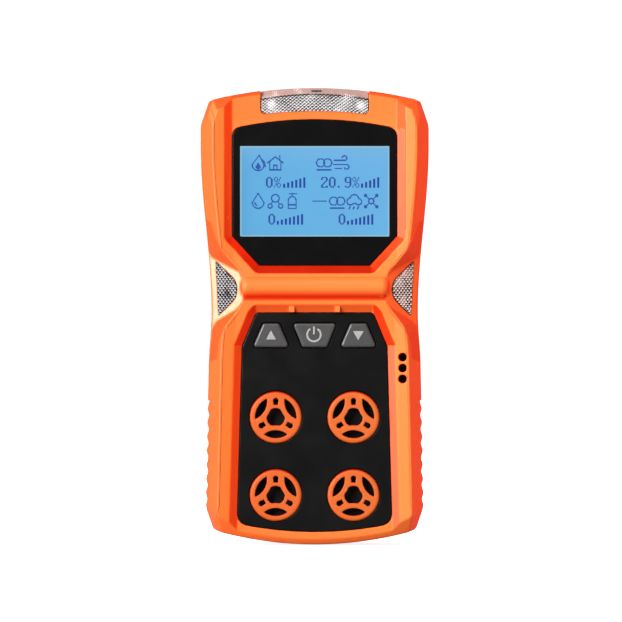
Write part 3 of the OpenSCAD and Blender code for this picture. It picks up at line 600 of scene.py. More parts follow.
def case_plastic(name, strength=1.0):
    """Satin moulded orange with painted shade: darker towards the left, redder on steep faces and deeper by the
    shade attribute; a painted pale sheen with lower roughness where that is -1, and a painted salmon tint on
    key-lit walls.
    """
    light, right, steep, deep, deepest = (strength * np.array(CASE_TINTS)).tolist()
    m = Material(name, light, 0.42)
    normal = m.node("ShaderNodeNewGeometry").outputs["Normal"]
    facing = m.math("ABSOLUTE", m.node("ShaderNodeSeparateXYZ", Vector=normal).outputs["Y"])
    shade = m.node("ShaderNodeAttribute", "shade").outputs["Fac"]
    # Painted shade: the orange darkens towards the left, grows redder on steep faces and deepens by the shade
    # attribute.
    light = m.mix(m.remap(m.axis("X"), 0, 1, 0.028, -0.03), light, right)
    tint = m.mix(m.remap(facing, 0, 1, 0.2, 0.97), steep, light)
    tint = m.mix(m.remap(shade, 0, 1, 0, 0.85), tint, m.mix(m.remap(shade, 0, 1, 0.75, 1), deep, deepest))
    tint = m.mix(m.remap(m.noise(14), 0, 0.06), tint, (0.9, 0.14, 0.02))
    # Painted light for negative shade: a pale sheen on the left pocket floor, a salmon tint on walls facing the
    # key light.
    pale = m.mix(m.remap(shade, 0, 1, -0.6, -0.35), PAINTED_SHEEN_TINT, LIT_WALL_TINT)
    tint = m.mix(m.remap(shade, 0.6, 0, -0.3, 0), tint, pale)
    m.set(Base_Color=m.wear(tint, (1.0, 0.35, 0.1), 0.2))
    polish = m.remap(shade, 0.7, 1, -1, 0)
    m.set(Roughness=m.math("MULTIPLY", m.remap(m.noise(3.0), 0.38, 0.48), polish))
    gloss = m.math("ADD", m.remap(shade, 0.22, 0.03, 0, 0.6), m.remap(shade, 0.22, 0, -1, -0.2))
    m.set(Specular_IOR_Level=gloss)
    return m.bump(m.noise(0.35, 2.0), 0.01).bump(m.noise(6), 0.015)


def black_gloss(name, colour=(0.0022, 0.0022, 0.0022), roughness=0.2):
    m = Material(name, colour, roughness)
    smear = m.noise(9, 4)
    m.set(Roughness=m.remap(smear, roughness * 0.8, roughness * 1.4), Specular_IOR_Level=0.14)
    m.set(Base_Color=m.mix(m.remap(m.noise(30), 0, 1), colour, [c * 1.35 for c in colour]))
    return m.bump(m.noise(5, 2), 0.003)


def plastic(name, colour, roughness=0.45, grain=0.006):
    m = Material(name, colour, roughness)
    m.set(Base_Color=m.mix(m.remap(m.noise(3), 0, 1), colour, [c * 0.86 for c in colour]))
    m.set(Roughness=m.remap(m.noise(1.2), roughness * 0.85, roughness * 1.15))
    return m.bump(m.noise(0.9, 2), grain)


def rubber(name, colour=(0.02, 0.02, 0.02), roughness=0.62):
    m = Material(name, colour, roughness)
    m.set(Base_Color=m.mix(m.remap(m.noise(2), 0, 1), colour, [c * 1.5 + 0.004 for c in colour]))
    m.set(Roughness=m.remap(m.noise(0.8), roughness * 0.9, roughness * 1.1))
    return m.bump(m.noise(0.18, 2), 0.012)


def steel(name, colour=(0.62, 0.62, 0.63), roughness=0.28, grain=(1, 1, 14)):
    m = Material(name, colour, roughness, 1.0)
    lines = m.noise(0.12, 3, grain)
    m.set(Base_Color=m.mix(m.remap(lines, 0, 1), colour, [c * 0.82 for c in colour]))
    m.set(Roughness=m.remap(lines, roughness * 0.8, roughness * 1.3))
    return m.bump(lines, 0.004)


# ---------------------------------------------------------------- case pieces

orange = case_plastic("case_orange")
for side, shape, d0, d1, shade in (
        ("front", front_shell, -2.6, PARTING + 0.8, front_shade),
        ("back", back_shell, PARTING - 0.8, CASE_D + 0.8, None)):
    moulded(f"{side}_shell_moulding", shape, (-33.4, d0, -0.8), (33.4, d1, 130.8), GRID, "case",
            orange, f"{side}_shell", 0.5, shade=shade)


def face_depth(x, z):
    """Depth of the front shell's surface at a place."""
    lo, hi = -2.0, 8.0
    for _ in range(30):
        mid = (lo + hi) / 2
        lo, hi = (lo, mid) if front_shell(np.array(x), np.array(mid), np.array(z)) < 0 else (mid, hi)
    return lo


# ---------------------------------------------------------------- front pieces

def window_mask(x, d, z):
    """The display window's black border."""
    value = smax(window_outline(x, z), np.abs(d - FLOOR - 0.75) - 0.75, 0.12)
    return smax(value, -rect(x, z, LCD_HW, LCD_HZ, LCD_MID), 0.12)


def panel(x, d, z):
    value = smax(panel_outline(x, z), np.abs(d - FLOOR - 0.5) - 0.5, 0.25)
    openings = np.minimum(nearest_button(x, z) - 0.22, grille_distance(x, z) - 0.12)
    return smax(value, -openings, 0.2)


def grille(x, d, z):
    """One sensor grille about its own centre, from its face at depth -0.7."""
    r = np.hypot(x, z)
    rim = smax(r - GRILLE_R, -0.7 - d, 0.9)
    value = np.minimum(rim, np.maximum(r - GRILLE_R - 1.2, 2.05 - d))
    value = np.maximum(value, d - 3)
    value = np.maximum(value, -np.maximum(r - 6.3, 0.75 - d))
    middle = r - 2.6
    for turn in (0, 120, 240):
        a = math.radians(turn)
        px = x * math.cos(a) + z * math.sin(a)
        pz = z * math.cos(a) - x * math.sin(a)
        away = np.hypot(px, pz + 8.95)
        eye = smax(r - 5.87, away - 5.26, 0.25)
        vent = smin(rect(px, pz, 0.62, 0.6, 4.2), np.hypot(px, pz - 4.75) - 0.72, 0.2)
        value = smax(value, -eye, 0.3)
        value = smax(value, -vent, 0.3)
        middle = smax(middle, 6.71 - away, 0.25)
    return smax(value, -middle, 0.3)


def grille_shade(points, normals):
    """Painted shade on the grilles: deeper colour on edges that look up or sideways."""
    steep = 1 - np.abs(normals[:, 1])
    return np.clip(0.8 * smoothstep(0.15, 0.8, normals[:, 2]) + 0.35 * smoothstep(0.3, 0.9, steep), 0, 1)


def key_cap(which):
    """A push button: rounded top edge, and a flange behind the front wall."""
    def shape(x, d, z):
        outline = button_outline(x, z, which)
        cap = smax(outline, 1.1 - d, 0.75)
        value = np.minimum(cap, np.maximum(outline - 0.8, INNER + 0.3 - d))
        return np.maximum(value, d - 6.2)
    return shape


black = black_gloss("window_black")
panel_black = black_gloss("panel_black", (0.0032, 0.0032, 0.0032), 0.3)
dark_plastic = plastic("frame_black", (0.02, 0.02, 0.02))
key_grey = plastic("button_grey", (0.055, 0.055, 0.055), 0.36, 0.001)
key_grey.set(Coat_Weight=0.15, Coat_Roughness=0.15)
mark_grey = plastic("button_mark_grey", (0.36, 0.36, 0.36), 0.5)

FINE = 0.25
moulded("display_window_mask", window_mask, (-24, 1.4, 78.6), (24, 4.1, 121.4), FINE, "case",
        black, "display_window", 0.4)
moulded("control_panel_plate", panel, (-22.8, 1.4, 2.8), (22.8, 3.6, 66.6), FINE, "case",
        panel_black, "control_panel", 0.4)

grille_step = 0.16
# The grilles use the case orange darkened to 0.62: painted shade.
grille_plastic = case_plastic("grille_orange", 0.62)
for number, (gx, gz) in enumerate([(-1, 1), (1, 1), (-1, -1), (1, -1)], 1):
    place = (gx * SENSOR_X, FLOOR, SENSOR_Z + gz * SENSOR_PITCH / 2)
    node = "sensor_grilles" if number == 4 else None
    moulded(f"sensor_grille_{number}", grille, (-9, -1.1, -9), (9, 3.4, 9), grille_step, "case",
            grille_plastic, node, 0.6, place, grille_shade)

key_step = 0.18
for which, key in ((-1, "up"), (0, "power"), (1, "down")):
    kx = which * BUTTON_PITCH
    moulded(f"{key}_key_cap", key_cap(which), (kx - 7.4, 0.7, BUTTON_Z - 5), (kx + 7.4, 6.6, BUTTON_Z + 5),
            key_step, f"{key}_key", key_grey, f"{key}_button", 0.7)


def round_edges(piece, width, segments, angle=30):
    """Rounds the edges that turn by more than an angle, by a width in mm."""
    edge = piece.modifiers.new("edge", "BEVEL")
    edge.width = width * MM
    edge.segments = segments
    edge.limit_method = "ANGLE"
    edge.angle_limit = math.radians(angle)
    return edge


def raised_mark(name, outlines, depth, height, body, material, bevel=0.06):
    """Flat raised shapes with bevelled edges, from closed outlines of [x, z], standing forward of a depth."""
    mesh = bmesh.new()
    for outline in outlines:
        back = [mesh.verts.new(Vector((x, depth + FRONT_Y, z)) * MM) for x, z in outline]
        front = [mesh.verts.new(Vector((x, depth - height + FRONT_Y, z)) * MM) for x, z in outline]
        count = len(outline)
        mesh.faces.new(front)
        mesh.faces.new(back[::-1])
        for i in range(count):
            j = (i + 1) % count
            mesh.faces.new((front[j], front[i], back[i], back[j]))
    piece = new_piece(name, mesh, body)
    if bevel:
        round_edges(piece, bevel, 2)
    return finish_on(piece, material)


def bar(x0, x1, z0, z1):
    return [(x0, z0), (x1, z0), (x1, z1), (x0, z1)]


def triangle(cx, cz, hw, hh):
    return [(cx - hw, cz - hh), (cx + hw, cz - hh), (cx, cz + hh)]


def ring_part(cx, cz, r, stroke, start, end, count=40):
    """An arc band as one closed outline, its angles in degrees from straight up, clockwise."""
    angles = [math.radians(start + (end - start) * i / count) for i in range(count + 1)]
    outer = [(cx + (r + stroke / 2) * math.sin(a), cz + (r + stroke / 2) * math.cos(a)) for a in angles]
    inner = [(cx + (r - stroke / 2) * math.sin(a), cz + (r - stroke / 2) * math.cos(a)) for a in angles]
    return outer + inner[::-1]


KEY_FACE, MARK_HEIGHT = 1.12, 0.12
POWER_X, POWER_Z = -0.2, BUTTON_Z + 0.2
stroke_outline = bar(POWER_X - 0.26, POWER_X + 0.26, POWER_Z + 0.1, POWER_Z + 2.3)
for key, outlines in (
        ("up", [triangle(-BUTTON_PITCH, BUTTON_Z + 0.1, 1.4, 1.3)]),
        ("down", [triangle(BUTTON_PITCH, BUTTON_Z - 0.1, 1.55, -1.3)]),
        ("power", [ring_part(POWER_X, POWER_Z, 1.92, 0.52, 32, 328), stroke_outline])):
    raised_mark(f"{key}_key_mark", outlines, KEY_FACE, MARK_HEIGHT, f"{key}_key", mark_grey)

# ---------------------------------------------------------------- display

GLASS_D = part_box("lcd_glass")[0].y / MM - FRONT_Y
DOT = 0.28
ICON_DOT, ICON_DOTS = 0.16, 30
DIGITS = {
    "0": "..###.. .##.##. ##...## ##...## ##...## ##...## ##...## ##...## ##...## .##.##. ..###..",
    "2": ".#####. ##...## ##...## .....## ....##. ...##.. ..##... .##.... ##..... ##...## #######",
    "9": ".#####. ##...## ##...## ##...## ##...## .###### .....## .....## .....## ##..##. .####..",
    "%": ".##...# #..#..# #..#.#. #..#.#. .##.#.. ...#... ..#.##. ..##..# .#.#..# #..#..# #...##.",
    ".": "....... ....... ....... ....... ....... ....... ....... ....... ....... .##.... .##....",
}
LINES = [("0", -13.9, 104.6), ("%", -11.6, 104.6), ("20.9%", 1.8, 104.6), ("0", -13.2, 94.1), ("0", 6.8, 94.1)]


def stroke(distance):
    """The dots of a line drawn about 0.4 mm wide."""
    return np.abs(distance) < 0.2


def line(x, z, *points):
    """The dots of a broken line."""
    return stroke(np.minimum.reduce([segment(x, z, a, b) for a, b in zip(points, points[1:])]))


def flame(x, z):
    outer = np.where(z < -0.5, np.hypot(x, z + 0.5) - 1.7, np.abs(x - 0.12 * (z + 0.5)) - 0.62 * (2.2 - z))
    inner = np.where(z < -1.1, np.hypot(x, z + 1.1) - 0.75, np.abs(x) - 0.6 * (0.2 - z))
    return stroke(outer) | (inner < 0) | line(x, z, (1.2, 0.9), (1.9, 0.0), (2.0, -1.0))


def linked_rings(x, z):
    return stroke(np.hypot(x + 1, z) - 1.15) | stroke(np.hypot(x - 1, z) - 1.15) | line(x, z, (-2, -2), (2, -2))


def drop(x, z):
    outer = np.where(z < -0.4, np.hypot(x, z + 0.4) - 1.65, np.abs(x) - 0.62 * (2.25 - z))
    shine = stroke(np.hypot(x, z + 0.4) - 0.9) & (x < -0.2) & (z < -0.3)
    return stroke(outer) | shine


def cloud(x, z):
    puffs = np.minimum(np.hypot(x + 1.1, z + 0.1) - 1.0, np.hypot(x - 1.2, z + 0.2) - 0.9)
    puffs = np.minimum(puffs, np.hypot(x, z - 0.6) - 1.25)
    picture = stroke(np.maximum(puffs, -1.0 - z))
    for rain_x in (-1.2, 0, 1.2):
        picture |= line(x, z, (rain_x, -1.6), (rain_x - 0.3, -2.2))
    return picture


def wind(x, z):
    """Three streams of air, the upper two ending in a curl."""
    picture = (stroke(np.hypot(x - 0.9, z - 1.35) - 0.65) & ((x > 0.9) | (z > 1.5)))
    picture |= stroke(np.hypot(x - 1.5, z + 1.15) - 0.65) & ((x > 1.5) | (z < -1.3))
    for left, right, at in ((-2, 0.9, 0.7), (-2.2, 1.5, -0.5), (-1.8, 0, -1.6)):
        picture |= line(x, z, (left, at), (right, at))
    return picture


def molecule(x, z):
    """A round atom that holds four small ones."""
    picture = stroke(np.hypot(x, z) - 0.75)
    for ax, az in ((1.6, 1.6), (-1.6, 1.6), (1.6, -1.6), (-1.6, -1.6)):
        picture |= (np.hypot(x - ax, z - az) < 0.5) | line(x, z, (ax * 0.35, az * 0.35), (ax, az))
    return picture


def bent_molecule(x, z):
    """A big atom between two small ones that hang below it."""
    picture = stroke(np.hypot(x, z - 0.8) - 1.1)
    for ax in (-1.5, 1.5):
        picture |= stroke(np.hypot(x - ax, z + 1.4) - 0.6) | line(x, z, (ax * 0.5, 0), (ax * 0.8, -0.9))
    return picture


def bottle(x, z):
    """A gas bottle with its valve and gauge."""
    body = np.where(z > 0.3, np.hypot(x, z - 0.2) - 1.1, rect(x, z, 1.1, 1.5, -0.6))
    valve = line(x, z, (0, 1.3), (0, 2.2)) | line(x, z, (-0.8, 2.1), (1.2, 2.1))
    return stroke(body) | valve | line(x, z, (-1.1, -1), (1.1, -1))


def house(x, z):
    """A workshop with a chimney and a door."""
    walls = line(x, z, (-1.6, 0.3), (-1.6, -2), (1.6, -2), (1.6, 0.3))
    roof = line(x, z, (-2.2, 0), (0, 1.7), (2.2, 0)) | line(x, z, (1.3, 0.8), (1.3, 2.1))
    return walls | roof | line(x, z, (-0.5, -2), (-0.5, -0.7), (0.5, -0.7), (0.5, -2))


def dash(x, z):
    return stroke(z) & (np.abs(x) < 2.1)


ICONS = [
    (flame, -16.1, 108.6), (house, -11.2, 108.6), (linked_rings, 2.7, 108.6), (wind, 7.6, 108.6),
    (drop, -16.1, 97.7), (bent_molecule, -11.2, 97.7), (bottle, -6.4, 97.7),
    (dash, 1.4, 97.7), (linked_rings, 6.4, 97.7), (cloud, 11.3, 97.7), (molecule, 16.1, 97.7),
]
GAUGES = [(-9.0, 101.5, 6), (13.2, 101.5, 5), (-10.8, 91.0, 7), (9.2, 91.0, 7)]


def dot_runs(rows, left, top, dot):
    """Boxes for the lit dots of a picture, one for each run along a row, as [x0, x1, z0, z1]."""
    runs = []
    for r, row in enumerate(rows):
        c = 0
        while c < len(row):
            start = c
            while c < len(row) and row[c]:
                c += 1
            if c > start:
                z1 = top - r * dot
                runs.append((left + start * dot, left + c * dot - 0.02, z1 - dot + 0.02, z1))
            c += 1
    return runs


def display_dots():
    runs = []
    for text, left, top in LINES:
        for i, letter in enumerate(text):
            rows = [[c == "#" for c in row] for row in DIGITS[letter].split()]
            runs += dot_runs(rows, left + i * 8 * DOT, top, DOT)
    grid = (np.arange(ICON_DOTS) - (ICON_DOTS - 1) / 2) * ICON_DOT
    reach = ICON_DOTS * ICON_DOT / 2
    for icon, cx, cz in ICONS:
        rows = icon(grid[None, :], -grid[:, None]).tolist()
        runs += dot_runs(rows, cx - reach, cz + reach, ICON_DOT)
    for left, foot, count in GAUGES:
        for i in range(count):
            tall = 0.8 + 2.2 * (i + 1) / count
            runs.append((left + 1.15 * i, left + 1.15 * i + 0.6, foot, foot + tall))
    points, faces = [], []
    corners = list(itertools.product((0, 1), repeat=3))
    sides = [(0, 1, 3, 2), (4, 6, 7, 5), (0, 4, 5, 1), (2, 3, 7, 6), (0, 2, 6, 4), (1, 5, 7, 3)]
    for x0, x1, z0, z1 in runs:
        base = len(points)
        points += [((x0, x1)[a], (GLASS_D - 0.05, GLASS_D - 0.01)[b], (z0, z1)[c]) for a, b, c in corners]
        faces += [[base + i for i in side] for side in sides]
    return mesh_object("lcd_dots", metres(points), faces, "case", smooth=False)


ink = Material("lcd_ink", (0.035, 0.075, 0.42), 0.5)
ink.set(Emission_Color=ink.mix(ink.remap(ink.noise(2), 0, 1), (0.02, 0.06, 0.4), (0.03, 0.08, 0.46)))
ink.set(Emission_Strength=0.8, Base_Color=(0.005, 0.01, 0.04), Specular_IOR_Level=0.05)
finish_on(display_dots(), ink)

# ---------------------------------------------------------------- lamp lenses

def prism_sheet(name, outline, place, thickness, across, along, height, slot, material, node=None):
    """A closed sheet whose outer face is a lattice of small prisms.

    The outline is convex, in u and v. place(u, v, h) gives [x, d, z] for a height h above the sheet's base.
    Each face's facet value runs from 1 where the prism looks up and left to 0 where it looks down and right;
    the lens material paints light and shade on the facets from it.
    """
    lo, hi = np.min(outline, 0), np.max(outline, 0)
    mesh = bmesh.new()
    facet = mesh.faces.layers.float.new("facet")
    nu, nv = int((hi[0] - lo[0]) / across) + 3, int((hi[1] - lo[1]) / along) + 3
    grid = [[mesh.verts.new((lo[0] - across + i * across, lo[1] - along + j * along, height * ((i + j) % 2)))
             for j in range(nv)] for i in range(nu)]
    for i in range(nu - 1):
        for j in range(nv - 1):
            a, b, c, d = grid[i][j], grid[i + 1][j], grid[i + 1][j + 1], grid[i][j + 1]
            pair = ((b, d, a), (b, c, d)) if (i + j) % 2 else ((a, b, c), (a, c, d))
            for k, corners in enumerate(pair):
                mesh.faces.new(corners)[facet] = ((0.72, 0.28) if (i + j) % 2 else (1.0, 0.0))[k]
    for (ax, ay), (bx, by) in zip(outline, outline[1:] + outline[:1]):
        parts = mesh.verts[:] + mesh.edges[:] + mesh.faces[:]
        bmesh.ops.bisect_plane(
            mesh, geom=parts, plane_co=(ax, ay, 0), plane_no=(by - ay, ax - bx, 0), clear_outer=True)
    front = mesh.verts[:]
    twin = {v: mesh.verts.new((v.co.x, v.co.y, -thickness)) for v in front}
    rim = [e for e in mesh.edges if e.is_boundary]
    for face in mesh.faces[:]:
        mesh.faces.new([twin[v] for v in reversed(face.verts)])
    for edge in rim:
        a, b = edge.verts
        mesh.faces.new((a, b, twin[b], twin[a]))
    co = np.array([v.co for v in mesh.verts])
    co = metres(place(*co.T))
    for vert, point in zip(mesh.verts, co):
        vert.co = point
    piece = finish_on(new_piece(name, mesh, "case"), material)
    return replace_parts(piece, node) if node else piece


def traced(shape, count=96, reach=12.0):
    """Closed outline of a convex shape around the origin, found along rays."""
    outline = []
    for i in range(count):
        a = 2 * math.pi * i / count
        lo, hi = 0.0, reach
        for _ in range(30):
            mid = (lo + hi) / 2
            inside = shape(np.array(mid * math.cos(a)), np.array(mid * math.sin(a))) < 0
            lo, hi = (mid, hi) if inside else (lo, mid)
        outline.append((lo * math.cos(a), lo * math.sin(a)))
    return outline


def side_place(side):
    c, s = math.cos(POCKET_TILT), math.sin(POCKET_TILT)

    def place(u, v, h):
        x = side * (POCKET_PLACE[0] + u * c + h * s)
        return np.stack([x, POCKET_D + u * s - h * c, POCKET_PLACE[1] + v], -1)
    return place


TOP_PROFILE = [(0.0, 1.95, 0.0, 0.0), (4.4, 1.75, 4.4, 0.6), (8.6, 5.2, 6.45, 0.0), (16.0, 12.8, 6.45, 0.0)]


def top_place(u, v, h):
    """The top lens: up its face, over a sloping strip and back along the case's top, with its ends dropping."""
    table = np.array(TOP_PROFILE)
    v = np.clip(v, 0, table[-1, 0])

    def base(w):
        d = np.interp(w, table[:, 0], table[:, 1])
        z = np.interp(w, table[:, 0], table[:, 2])
        drop = arc_drop(TOP_R, u) * (1 + np.interp(w, table[:, 0], table[:, 3]))
        return d, LENS_FOOT_Z - 0.1 + z - drop
    d, z = base(v)
    d0, z0 = base(v - 0.3)
    d1, z1 = base(v + 0.3)
    length = np.maximum(np.hypot(d1 - d0, z1 - z0), 1e-6)
    return np.stack([u, d - h * (z1 - z0) / length, z + h * (d1 - d0) / length], -1)


LAMPS = [(-12.3, 125.0), (12.9, 124.8)]


def lens_plastic(name, bias, paleness, shine, glow=0.0):
    """Prismatic lens with painted light: facets painted pale or dark by which way they look, and a painted rosy
    cast where the lit lens wraps over the case's edge.
    """
    m = Material(name, (0.6, 0.55, 0.55), 0.18)
    facet = m.node("ShaderNodeAttribute", "facet").outputs["Fac"]
    tone = m.math("ADD", facet, m.remap(m.noise(5.0), bias - 0.4, bias + 0.4))
    strip_y = (FRONT_Y + 2.1) * MM if glow else 1.0
    rosy = m.remap(m.axis("Y"), 0, 1, strip_y, strip_y + 0.4 * MM)
    dark = m.mix(rosy, (0.006, 0.003, 0.004), (0.4, 0.25, 0.22))
    pale = m.mix(rosy, [c * paleness for c in (0.9, 0.87, 0.87)], (0.92, 0.8, 0.76))
    m.set(Base_Color=m.mix(m.remap(tone, 0, 1, 0.3, 0.7), dark, pale), Specular_IOR_Level=shine)
    if glow:
        spots = 0.0
        for x, z in LAMPS:
            away = m.node("ShaderNodeVectorMath", "DISTANCE")
            m.feed(away.inputs[0], m.position)
            m.feed(away.inputs[1], Vector((x, FRONT_Y + 1.8, z)) * MM)
            spots = m.math("ADD", m.remap(away.outputs["Value"], 1, 0, 0.4 * MM, 1.6 * MM), spots)
        m.set(Emission_Color=(1.0, 0.93, 0.92), Emission_Strength=m.math("MULTIPLY", spots, glow))
    return m


CELL = (0.56, 0.46, 0.26)
SIDE_CELL = (0.66, 0.64, 0.3)
FLAT = (4, 4, 0)
quarter_turn = [math.pi / 12 * i for i in range(7)]
corner = [(LENS_HW - 1.6 * (1 - math.sin(a)), 1.6 * (1 - math.cos(a))) for a in quarter_turn]
top_outline = corner + [(LENS_HW, 16.0), (-LENS_HW, 16.0)] + [(-x, v) for x, v in reversed(corner)]
prism_sheet("top_lens_prisms", top_outline, top_place, 1.2, *CELL, "lamp_clear",
            lens_plastic("lamp_clear_lit", 0.0, 0.7, 0.25, 0.5), "top_lamp_lens")
slot_outline = [
    (-1.3, 6.3), (1.3, 6.3), (1.5, 6.5), (1.5, 6.9), (1.3, 7.1), (-1.3, 7.1), (-1.5, 6.9), (-1.5, 6.5),
]
prism_sheet("top_lens_slot", slot_outline, lambda u, v, h: top_place(u + 0.5, v, h + 0.3), 0.4, *FLAT,
            "frame_black", dark_plastic)
moon = traced(half_moon)
ring = traced(lambda u, v: half_moon(u - 0.12, v) - 0.2)
# The left lens is painted darker than the right one: painted shade.
for side, name, bias, paleness in ((-1, "left", -0.2, 0.4), (1, "right", 0.0, 1.0)):
    prism_sheet(f"{name}_lens_prisms", moon, side_place(side), 1.2, *SIDE_CELL, "lamp_clear",
                lens_plastic(f"lamp_clear_{name}", bias, paleness, 0.03), f"{name}_lamp_lens")
    prism_sheet(f"{name}_lens_seal", ring, side_place(side), 1.0, *FLAT, "seal_rubber", dark_plastic)

# ---------------------------------------------------------------- display pane

PANE_D = 3.1


def pane(x, d, z):
    outline = smax(np.abs(x) - LCD_HW - 0.3, np.abs(z - LCD_MID) - LCD_HZ - 0.3, 0.3)
    return smax(outline, np.abs(d - PANE_D) - 0.4, 0.1)


clear = Material("window_clear", (0.004, 0.005, 0.006), 0.06)
clear.set(Alpha=clear.remap(clear.noise(12), 0.03, 0.05), Specular_IOR_Level=0.3)
moulded("display_pane", pane, (-22.3, 2.2, 86.5), (22.3, 4.0, 114.4), FINE, "case",
        clear, keep=0.1)

# ---------------------------------------------------------------- belt clip

CLIP_T, CLIP_HW, LEVER_HW = 1.0, 8.0, 9.2
PIN_D, PIN_Z = 39.2, 89.0
PAD_D = 42.9


def rounded_path(points, radius, steps=5):
    """A broken line with its bends turned into arcs of about the radius."""
    path = [points[0]]
    for a, b, c in zip(points, points[1:], points[2:]):
        a, b, c = np.array(a), np.array(b), np.array(c)
        before, after = (a - b) / np.linalg.norm(a - b), (c - b) / np.linalg.norm(c - b)
        reach = radius / math.tan(math.acos(np.clip(before @ after, -1, 1)) / 2)
        start, end = b + before * reach, b + after * reach
        for t in np.linspace(0, 1, steps + 1):
            path.append(tuple((1 - t) ** 2 * start + 2 * t * (1 - t) * b + t * t * end))
    return path + [points[-1]]


def sheet(d, z, path):
    """Distance to a bent sheet seen edge on."""
    return np.minimum.reduce([segment(d, z, a, b) for a, b in zip(path, path[1:])]) - CLIP_T / 2


LEVER_PATH = rounded_path([(PAD_D, 104), (PAD_D, 91.6), (38.7, 66), (36.9, 62.5), (36.0, 62.3)], 1.4)
BASE_PATH = rounded_path([(34.5, 62), (34.5, 104.3), (37.7, 107.6), (37.7, 115.6)], 1.0)
EAR = [(37.4, 87.2), (39.2, 91.6), (42.9, 95.5), (42.9, 91.6), (40.2, 74.5), (39.6, 74.0)]


def lever(x, d, z):
    """The clip's lever: ridged thumb pad, cheeks about the pin, embossed slope and a toothed jaw."""
    ax = np.abs(x)
    ridge = 0.28 * (0.5 - 0.5 * np.cos(2 * math.pi * (z - 95) / 1.8)) * (z > 95) * (z < 102.2) * (ax < 7.4)
    rib = 0.4 * (1 - smoothstep(0, 1.6, np.hypot(np.maximum(ax - 2.2, 0), np.maximum(np.abs(z - 78) - 6.5, 0))))
    half = LEVER_HW - 1.4 * smoothstep(76, 66, z)
    outline = smax(smax(ax - half, z - 104, 3.0), 61.9 - z, 0.5)
    value = smax(sheet(d - ridge * (d > 0) - rib, z, LEVER_PATH), outline, 0.3)
    from_pin = np.hypot(d - PIN_D, z - PIN_Z)
    cheek = np.minimum(from_pin - 2.8, polygon(d, z, EAR) - 0.3)
    cheek = smax(cheek, np.abs(ax - LEVER_HW + CLIP_T / 2) - CLIP_T / 2, 0.3)
    value = smin(value, cheek, 0.8)
    value = smax(value, 1.27 - from_pin, 0.2)
    tooth = np.abs((x / 3.5) % 1 - 0.5) * 3.5
    value = smax(value, -np.maximum(z - 61.9 - 1.2 + tooth, d - 37.6), 0.2)
    return smax(value, d - 43.38, 0.2)


def clip_plate(x, d, z):
    """The clip's base: a plate with two ears for the pin and a neck that ends in an eye."""
    ax = np.abs(x)
    half = np.where(z > 103, 4.0, CLIP_HW)
    outline = smax(ax - half, 62 - z, 1.5)
    shoulder = smax(ax - CLIP_HW, z - 103, 2.0)
    neck = smax(ax - 4, np.where(z > EYE_Z, np.hypot(x, z - EYE_Z) - 4, 100 - z), 0.5)
    outline = np.minimum(smax(shoulder, outline, 0.5), neck)
    value = smax(sheet(d, z, BASE_PATH), outline, 0.3)
    from_pin = np.hypot(d - PIN_D, z - PIN_Z)
    ear = np.minimum(from_pin - 2.5, box(0 * x, d, z, (-1, 34.5, PIN_Z - 2.5), (1, PIN_D, PIN_Z + 2.5)))
    value = smin(value, smax(ear, np.abs(ax - CLIP_HW + CLIP_T / 2) - CLIP_T / 2, 0.3), 0.6)
    value = smax(value, 1.22 - from_pin, 0.2)
    for screw_z in CLIP_SCREW_ZS:
        value = smax(value, 1.6 - np.hypot(x, z - screw_z), 0.2)
    value = smax(value, 1.7 - np.hypot(x, z - EYE_Z), 0.3)
    tab = np.maximum(np.abs((x / 3.5) % 1 - 0.5) * 3.5 - 0.9, np.maximum(ax - 6.5, np.abs(z - 62.5) - 0.5))
    return smax(smin(value, np.maximum(tab, np.maximum(34 - d, d - 35.6)), 0.3), 34.01 - d, 0.1)


def tube(name, path, radius, material, body=None, sides=10):
    """A round wire along a path of [x, d, z], with closed ends."""
    path = np.array(path, float)
    along = np.gradient(path, axis=0)
    along /= np.linalg.norm(along, axis=1)[:, None]
    side = np.cross(along[0], (0.3, 0.9, 0.2))
    rings = []
    for point, ahead in zip(path, along):
        side = side - ahead * (side @ ahead)
        side /= np.linalg.norm(side)
        other = np.cross(ahead, side)
        turn = [2 * math.pi * i / sides for i in range(sides)]
        rings.append([point + radius * (math.cos(a) * side + math.sin(a) * other) for a in turn])
    mesh = bmesh.new()
    rings = [[mesh.verts.new(metres(p)) for p in ring] for ring in rings]
    for low, high in zip(rings, rings[1:]):
        for i in range(sides):
            j = (i + 1) % sides
            mesh.faces.new((low[i], low[j], high[j], high[i])).smooth = True
    mesh.faces.new(rings[0][::-1])
    mesh.faces.new(rings[-1])
    return finish_on(new_piece(name, mesh, body), material)


clip_step = 0.22
clip_metal = steel("clip_steel", (0.56, 0.55, 0.53), 0.36, (1, 1, 18))
moulded("clip_lever_pressing", lever, (-9.9, 34.8, 60.9), (9.9, 44.0, 104.8), clip_step, "clip_arm",
        clip_metal, "clip_lever", 0.5)
moulded("clip_base_pressing", clip_plate, (-8.6, 33.4, 61.2), (8.6, 42.4, 116.2), clip_step, "case",
        clip_metal, "clip_base", 0.5)

COIL_R, COIL_HW, COIL_TURNS, WIRE_R = 2.2, 3.4, 5, 0.42
coil = [(-COIL_HW, 35.5, 99), (-COIL_HW, 35.9, 96.5), (-COIL_HW, 36.7, 91.5)]
for i in range(181):
    turn = math.radians(-90 + (360 * COIL_TURNS + 180) * i / 180)
    coil.append((COIL_HW * (i / 90 - 1), PIN_D + COIL_R * math.sin(turn), PIN_Z + COIL_R * math.cos(turn)))
coil += [(COIL_HW, 41.9, 95), (COIL_HW, 41.9, 99)]
piece = tube("clip_torsion_spring", coil, WIRE_R,
             steel("spring_steel", (0.5, 0.5, 0.52), 0.25, (1, 1, 1)))
metres((-3, PIN_D, PIN_Z))
metres((3, PIN_D, PIN_Z))
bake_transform(piece)
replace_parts(piece, "clip_spring")

# ---------------------------------------------------------------- rating plate, left blank

PLATE_HW, PLATE_MID, PLATE_D = 14.8, 33.0, 33.9


